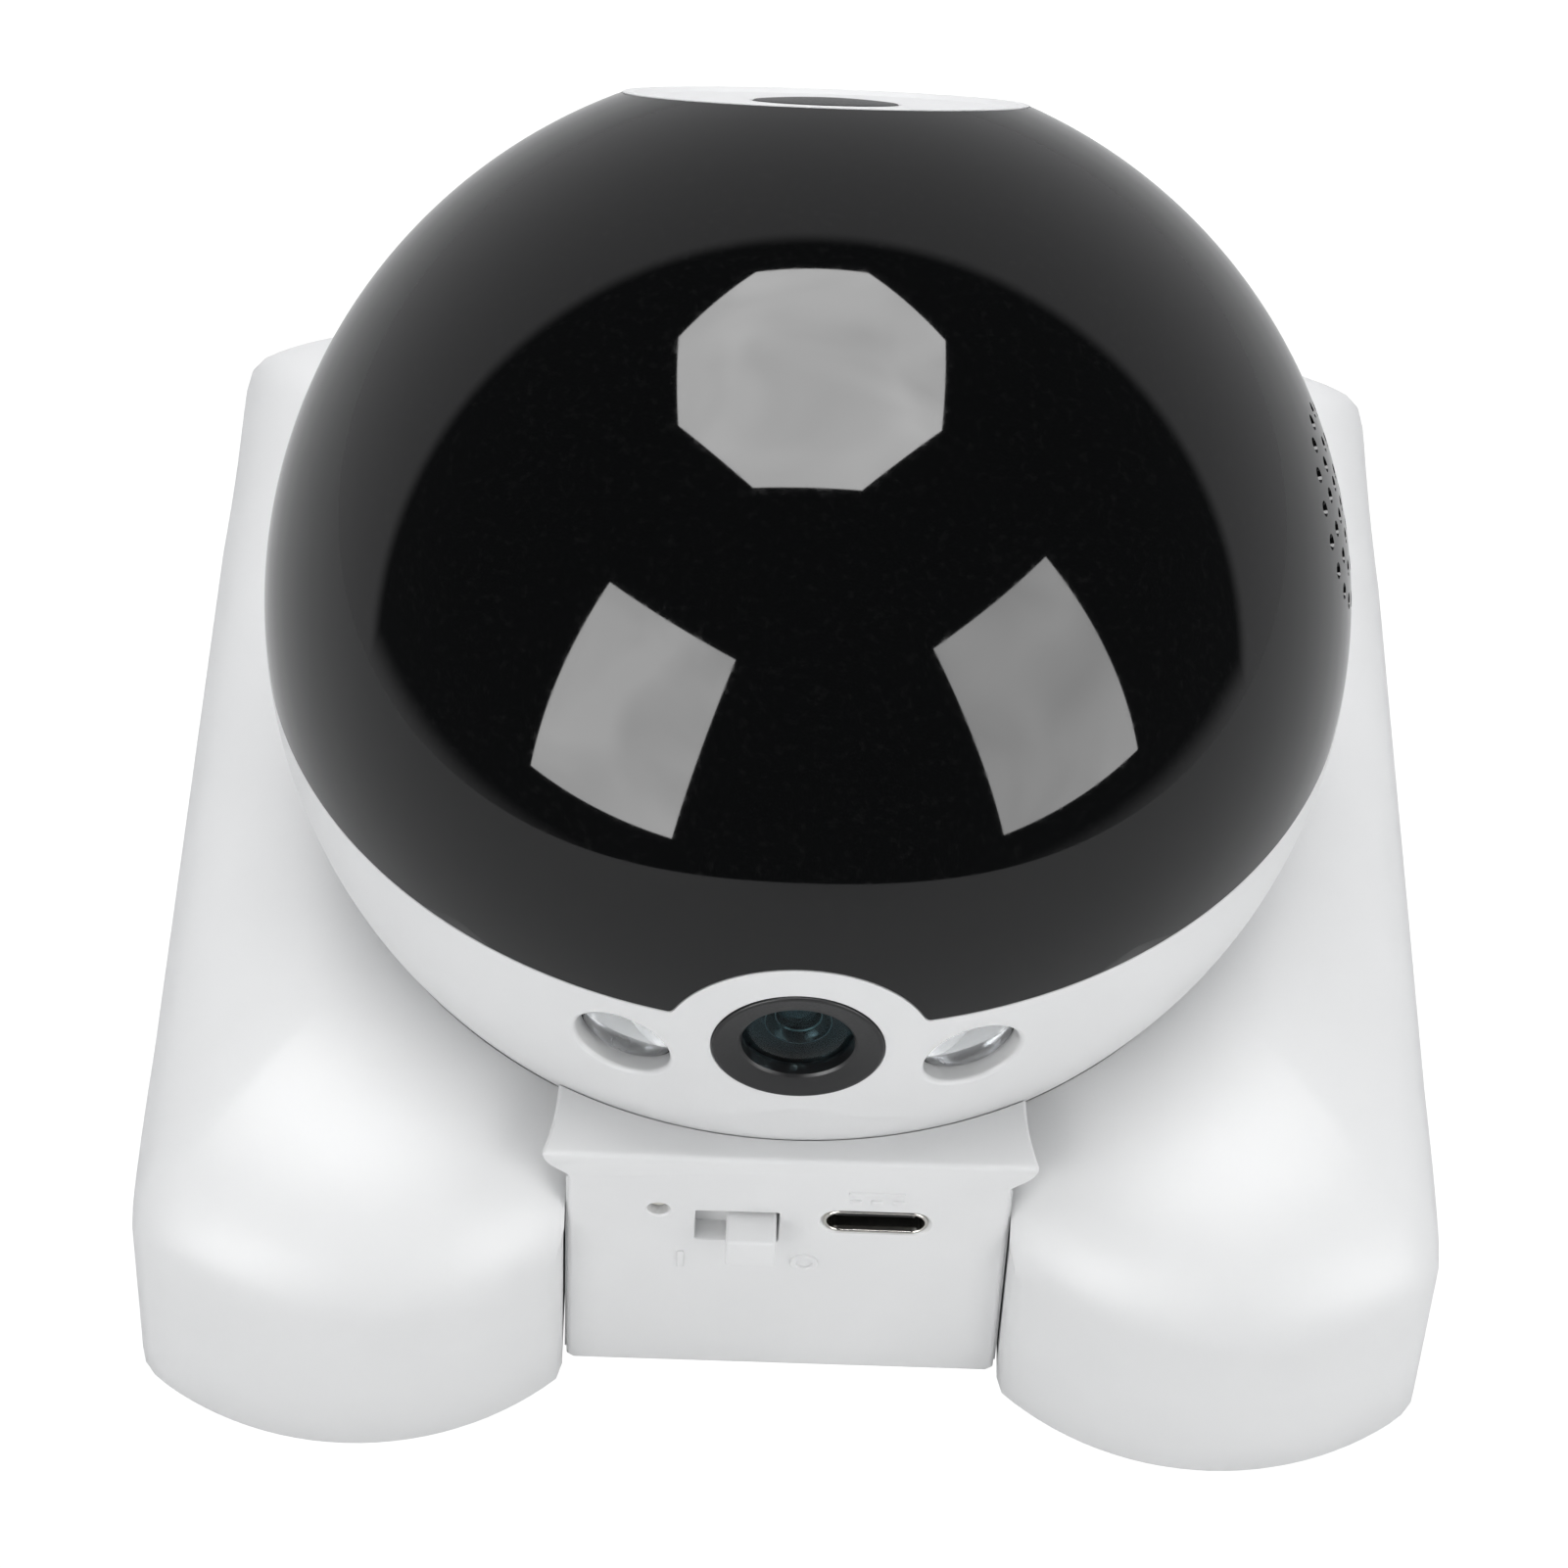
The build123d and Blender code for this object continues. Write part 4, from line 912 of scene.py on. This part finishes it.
lamp_azimuth, lamp_elevation = np.radians(18.3), np.radians(-4.4)
lamp_bore = 4.15
lens_bore = mm_box("lens_ring")[1][0]


def bore_cutter(radius, mouth, axis, inner_end):
    """Round cutter along an axis of the ball, with its mouth rolled outwards at the skin."""
    surface = np.sqrt(ball_radius ** 2 - (radius + mouth) ** 2)
    turn = np.linspace(0, np.pi / 2, 7)
    outline = [(0, inner_end), (radius, inner_end)]
    outline += [(radius + mouth * (1 - np.cos(t)), surface - mouth + mouth * np.sin(t)) for t in turn]
    outline += [(radius + mouth + 1.5, ball_radius + 2), (0, ball_radius + 2)]
    return spun(outline, ball_centre, axis, 96)


def sleeve(radius, inner_end, axis):
    """Solid rod that a bore turns into a tube wall, from just under the ball's skin inwards."""
    top = ball_radius - 1.35
    return spun([(0, inner_end), (radius, inner_end), (radius, top), (0, top)], ball_centre, axis, 64)


def round_normals(piece, radius, hold=0.9):
    """Gives every corner on the ball's skin the ball's own normal, so that reflections run true."""
    mesh = piece.data
    count = len(mesh.vertices)
    co = np.empty(count * 3, np.float32)
    mesh.vertices.foreach_get("co", co)
    away = co.reshape(-1, 3) / mm - ball_centre
    length = np.linalg.norm(away, axis=1)
    radial = away / length[:, None]
    corner = np.empty(len(mesh.loops), np.int32)
    mesh.loops.foreach_get("vertex_index", corner)
    normals = np.array([n.vector for n in mesh.corner_normals], float)
    face_normal = np.empty(len(mesh.polygons) * 3, np.float32)
    mesh.polygons.foreach_get("normal", face_normal)
    total = np.empty(len(mesh.polygons), np.int32)
    mesh.polygons.foreach_get("loop_total", total)
    face_of = np.repeat(np.arange(len(mesh.polygons)), total)
    outward = (face_normal.reshape(-1, 3)[face_of] * radial[corner]).sum(1)
    on_skin = (np.abs(length[corner] - radius) < 0.012) & (outward > hold)
    normals[on_skin] = radial[corner][on_skin]
    mesh.normals_split_custom_set(normals.tolist())


lower = closed_solid("lower_moulding", *lower_shell_mesh())
lamp_axes = {"left": pointing(-lamp_azimuth, lamp_elevation), "right": pointing(lamp_azimuth, lamp_elevation)}
tube_end = ball_radius - 8.6
sleeves = [closed_solid("sleeve", *sleeve(lamp_bore + 1.2, tube_end, axis)) for axis in lamp_axes.values()]
sleeves += [closed_solid("sleeve", *sleeve(lens_bore + 1.8, ball_radius - 7.5, lens_axis))]
combine(lower, sleeves, "UNION")
bores = [closed_solid("bore", *bore_cutter(lamp_bore, 0.45, axis, tube_end - 5)) for axis in lamp_axes.values()]
bores += [closed_solid("bore", *bore_cutter(lens_bore + 0.03, 0.12, lens_axis, ball_radius - 20))]
combine(lower, bores, "DIFFERENCE")
smooth(lower, crease)
round_normals(lower, ball_radius)
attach(lower, "head")
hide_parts("lower_shell")

# ---- Spot lamps ------------------------------------------------------------
# Each lamp is a clear moulded lens over a bright reflector cup and a small board
# with one diode, pushed into its bore from behind.


def glass(name, index, dark, light, gloss, scale, passing=1.0):
    """Glass or clear moulding: two close tints and two roughness values mixed by one faint noise."""
    material, skin, new, link = finish_nodes(name, gloss[0])
    skin.inputs["Transmission Weight"].default_value = passing
    skin.inputs["IOR"].default_value = index
    faint = grain(new, link, scale)
    link(tinted(new, link, faint, dark, light), skin.inputs["Base Color"])
    link(between(new, link, faint, *gloss), skin.inputs["Roughness"])
    return material


def bulge(reach, radius, rim, count):
    """Arc from a dome's crest out to its rim: reach wide, curved by radius, its rim at a height."""
    bend = np.linspace(0, np.arcsin(reach / radius), count)
    return np.stack([radius * np.sin(bend), rim + radius * (np.cos(bend) - np.cos(bend[-1]))], 1)


clear_lens = glass("lamp_clear", 1.49, (0.84, 0.86, 0.87), (0.874, 0.894, 0.905), (0.012, 0.028), 300.0)
bright_cup = metal("bright_cup", (0.46, 0.46, 0.47), 0.24, 1200.0)
diode_yellow = moulding("diode_phosphor", (0.80, 0.66, 0.18), (0.88, 0.75, 0.25), 0.5, 4000.0, 1e-5)
lamp_radius = 3.9
lamp_rim = ball_radius - 1.7
lamp_skirt = 1.3
cup_length = 4.0
lamp_curve = 6.5
cup_floor_radius = 1.6
lamp_back, cup_end = lamp_rim - lamp_skirt, lamp_rim - lamp_skirt - cup_length
for side, axis in lamp_axes.items():
    outline = np.concatenate([[(0, lamp_back), (lamp_radius - 0.3, lamp_back), (lamp_radius, lamp_rim - 0.5)],
                              bulge(lamp_radius, lamp_curve, lamp_rim, 18)[::-1]])
    lens = build(f"lamp_lens_clear_{side}", *spun(outline, ball_centre, axis, 72), clear_lens,
                 "head", "lamp_lens")
    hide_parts(f"lamp_lens_{side}")

    # Black ring between the lens rim and the bore wall: painted shade, a dark ring put where the gap only lies
    # in shade.
    gap_shade_ring = soft_rectangle(lamp_radius - 0.25, lamp_bore + 0.1, lamp_rim - 0.75, lamp_rim - 0.25, 0.05, 3)
    build(f"lamp_gap_shade_{side}", *lathe(gap_shade_ring, ball_centre, axis, 72), finishes["foam"], "head", "foam")

    rise = np.linspace(0, 1, 12)
    cup_top, bowl_low = lamp_back - 0.1, cup_end + 0.5
    bowl = np.stack([cup_floor_radius + (lamp_radius - 0.35 - cup_floor_radius) * np.sqrt(rise),
                     bowl_low + (cup_top - bowl_low) * rise], 1)
    cup_side = [(lamp_radius, cup_top), (lamp_radius, cup_end), (cup_floor_radius, cup_end)]
    outline = np.concatenate([cup_side, bowl])
    cup = build(f"lamp_reflector_{side}", *lathe(outline, ball_centre, axis, 72), bright_cup,
                "head", "lamp_reflector")
    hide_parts(f"lamp_cup_{side}")

    chip = [(0, cup_end), (1.1, cup_end), (1.1, cup_end + 0.75), (0.9, cup_end + 0.9), (0, cup_end + 0.95)]
    build(f"lamp_diode_{side}", *spun(chip, ball_centre, axis, 24), diode_yellow, "head", "lamp_lens")

# ---- Lens ------------------------------------------------------------------
# A black moulded ring pressed into the shell, a bloomed front glass inside it,
# black stops that step down to the pupil, and a second glass that closes the view.

black_satin = finishes["black_satin"]
ring_front, ring_rear = (-corner[1] for corner in mm_box("lens_ring"))
opening = 4.65
ring_outline = softened([(opening - 0.1, ring_rear, 0), (lens_bore - 0.02, ring_rear, 0),
                         (lens_bore - 0.02, ring_front, 0.16), (lens_bore - 0.35, ring_front, 0.1),
                         (opening + 0.22, ring_front - 0.42, 0.05), (opening, ring_front - 0.62, 0.05),
                         (opening - 0.03, ring_front - 1.5, 0.05),
                         (opening - 0.1, ring_front - 1.6, 0)], 0.1, 4)
ring = build("lens_bezel", *lathe(ring_outline, ball_centre, lens_axis, 128), black_satin,
             "head", "black_satin")
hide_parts("lens_ring")

glass_radius = opening - 0.06
glass_rim = ring_front - 1.45
glass_curve = 9.5
bloomed = glass("front_coating", 1.15, (0.378, 0.504, 0.54), (0.42, 0.56, 0.60), (0.004, 0.015), 220.0)
outline = np.concatenate([[(0, glass_rim - 0.9), (glass_radius, glass_rim - 0.9)],
                          bulge(glass_radius, glass_curve, glass_rim, 24)[::-1]])
front_glass = build("front_element", *spun(outline, ball_centre, lens_axis, 96), bloomed, "head", "lens_glass")
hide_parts("lens_glass")

stop_front = glass_rim - 0.95
stop_steps = [(3.4, 0.1), (2.62, 0.5), (2.45, 0.35), (2.35, 0.6), (2.0, 0.9), (1.82, 0.75), (1.7, 1.2)]
stop_outline = [(glass_radius, stop_front, 0)] + [(reach, stop_front - depth) for reach, depth in stop_steps]
stop_outline += [(1.6, stop_front - 2.4, 0), (glass_radius, stop_front - 2.4, 0)]
lens_blacking = moulding("lens_blacking", (0.002, 0.0045, 0.0055), (0.004, 0.008, 0.010), 0.22, 5000.0, 3e-6)
build("lens_stops", *lathe(softened(stop_outline, 0.05, 3), ball_centre, lens_axis, 96), lens_blacking,
      "head", "lens_metal")
for reach, depth, name in ((2.56, 0.42, "outer"), (1.78, 0.80, "inner")):
    trim = soft_rectangle(reach - 0.05, reach + 0.05, stop_front - depth - 0.1, stop_front - depth, 0.03, 3)
    build(f"lens_trim_{name}", *lathe(trim, ball_centre, lens_axis, 96),
          metal(f"trim_{name}", (0.34, 0.40, 0.40), 0.35, 900.0), "head", "lens_metal")

second_radius, second_curve = 1.66, 2.6
dark_coat = glass("second_coating", 1.7, (0.004, 0.012, 0.014), (0.0072, 0.0216, 0.0252),
                  (0.01, 0.03), 400.0, 0.0)
outline = np.concatenate([[(0, stop_front - 2.3), (second_radius, stop_front - 2.3)],
                          bulge(second_radius, second_curve, stop_front - 1.3, 14)[::-1]])
build("second_element", *spun(outline, ball_centre, lens_axis, 72), dark_coat, "head", "lens_glass")
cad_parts["lens_rear_glass"].data.materials[0] = dark_coat

# ---- Upper dome ------------------------------------------------------------
# The black half of the ball, polished acrylic-like plastic, clipped to the lower
# shell. It has the loudspeaker's holes at its right and a round seat at the back.


def polished_black(name):
    """Deep black gloss: a faint swell in the surface and dust in the gloss."""
    material, skin, new, link = finish_nodes(name, 0.04, 0.5)
    swell = grain(new, link, 55.0, 1.0)
    dust = grain(new, link, 1400.0, 5.0)
    link(tinted(new, link, dust, (0.0022, 0.0024, 0.0026), (0.008, 0.008, 0.008), (0.55, 0.80)),
         skin.inputs["Base Color"])
    link(between(new, link, dust, 0.03, 0.06, (0.5, 0.8)), skin.inputs["Roughness"])
    dented(new, link, skin, swell, 0.25, 2.5e-5)
    return material


black_gloss = polished_black("polished_black")
flat_depth = 42.95
disc_radius = 16.5
disc_top = flat_depth - 0.5
disc_bottom = disc_top - 1.5
shelf_radius, shelf_bottom = disc_radius - 3.0, disc_bottom - 2.0
rim_radius = np.sqrt(ball_radius ** 2 - flat_depth ** 2)
speaker_azimuth, speaker_elevation = np.radians(90 + 3.9), np.radians(15.5)
hole_pitch, hole_radius, hole_depth = 2.77, 0.675, 4.5


def seat_rows():
    """Round seat for the disc: from the skin over a thin rim, down its wall and in across the shelf."""
    turn = np.linspace(0, np.pi / 2, 4)
    outline = [(rim_radius - 0.25 * (1 - np.cos(t)) - 0.05, flat_depth - 0.12 * (1 - np.sin(t))) for t in turn]
    outline += [(disc_radius + 0.25, flat_depth), (disc_radius + 0.08, flat_depth - 0.12),
                (disc_radius + 0.05, disc_bottom - 0.02), (shelf_radius, disc_bottom - 0.02),
                (shelf_radius, shelf_bottom)]
    aside = np.cos(bearing)[:, None] * across_axis + np.sin(bearing)[:, None] * down_axis
    return np.array([ball_centre + r * aside + h * flat_axis for r, h in outline])


def dome_mesh():
    """Closed skin: the seat, the outside down to the parting line, the lip and back up the inside."""
    rim = np.arccos(flat_depth / ball_radius)
    bottom = split_line(ball_radius)
    outside = rows_between(ball_radius, rim + 0 * bottom, bottom - 0.2 / ball_radius, 110)
    inner = ball_radius - head_wall
    seat = seat_rows()
    inside_top = np.arctan2(shelf_radius, shelf_bottom) + 0.3 / inner
    inside = rows_between(inner, split_line(inner) - lip_gap / inner, inside_top + 0 * bottom, 26)
    rows = np.concatenate([seat[::-1], outside[:-1], lip(bottom, ball_radius, -1), inside])
    return rows, quads(rows.shape[0], rows.shape[1], True, True)


def speaker_cutters():
    """Round cutters of the grille in rings of one, six, twelve and eighteen."""
    axis = pointing(speaker_azimuth, speaker_elevation)
    side = np.cross([0, 0, 1.0], axis)
    side /= np.linalg.norm(side)
    up = np.cross(axis, side)
    made = []
    for ring_index, count in enumerate((1, 6, 12, 18)):
        out = ring_index * hole_pitch
        skin = np.sqrt(ball_radius ** 2 - out ** 2)
        outline = [(0, skin - hole_depth), (hole_radius, skin - hole_depth), (hole_radius, skin - 0.05),
                   (hole_radius + 0.2, skin + 0.6), (0, skin + 0.6)]
        for k in range(count):
            t = 2 * np.pi * (k + 0.5 * (ring_index % 2)) / count
            made.append(spun(outline, ball_centre + out * (np.cos(t) * side + np.sin(t) * up), axis, 28))
    return made


dome = build("black_dome", *dome_mesh(), black_gloss, None, None)
combine(dome, [closed_solid("hole", *cutter) for cutter in speaker_cutters()], "DIFFERENCE")
dome.data.materials.clear()
dome.data.materials.append(black_gloss)
dome.data.polygons.foreach_set("material_index", np.zeros(len(dome.data.polygons), np.int32))
smooth(dome, crease)
round_normals(dome, ball_radius)
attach(dome, "head")
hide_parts("top_dome")

# ---- Back disc and call button ---------------------------------------------
# A white moulded disc with a thin flange lies in the dome's seat, and a black button
# with a low crown comes up through its middle on the call switch.

button_radius, button_edge, button_crest = 6.25, 0.3, flat_depth + 0.12
flange_radius, flange_low, flange_top = rim_radius - 0.1, flat_depth + 0.01, flat_depth + 0.14
dish = disc_top + 0.25
disc_outline = softened([(button_radius + 0.1, disc_bottom, 0), (disc_radius, disc_bottom, 0),
                         (disc_radius, flange_low, 0), (flange_radius, flange_low, 0),
                         (flange_radius, flange_top, 0.08), (disc_radius - 0.3, flange_top, 0.1),
                         (disc_radius - 0.8, dish, 0.3), (button_radius + 0.1, dish, 0.15)], 0.2)
disc = build("back_disc_moulding", *lathe(disc_outline, ball_centre, flat_axis, 160), white_plastic,
             "head", white_slot)
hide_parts("back_disc")

crown_radius = 60.0
crown_reach = button_radius - button_edge
crown_rim = button_crest - crown_radius * (1 - np.cos(np.arcsin(crown_reach / crown_radius)))
crown_line = bulge(crown_reach, crown_radius, crown_rim, 16)
edge_turn = np.linspace(0, np.pi / 2, 5)[1:]
edge = np.stack([button_radius - button_edge * (1 - np.sin(edge_turn)),
                 crown_line[-1, 1] - button_edge * (1 - np.cos(edge_turn))], 1)
outline = np.concatenate([crown_line, edge, [(button_radius, disc_bottom - 0.5), (0, disc_bottom - 0.5)]])
button = build("call_button_cap", *spun(outline, ball_centre, flat_axis, 96), black_satin,
               "call_button", "black_satin")
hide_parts("call_button")
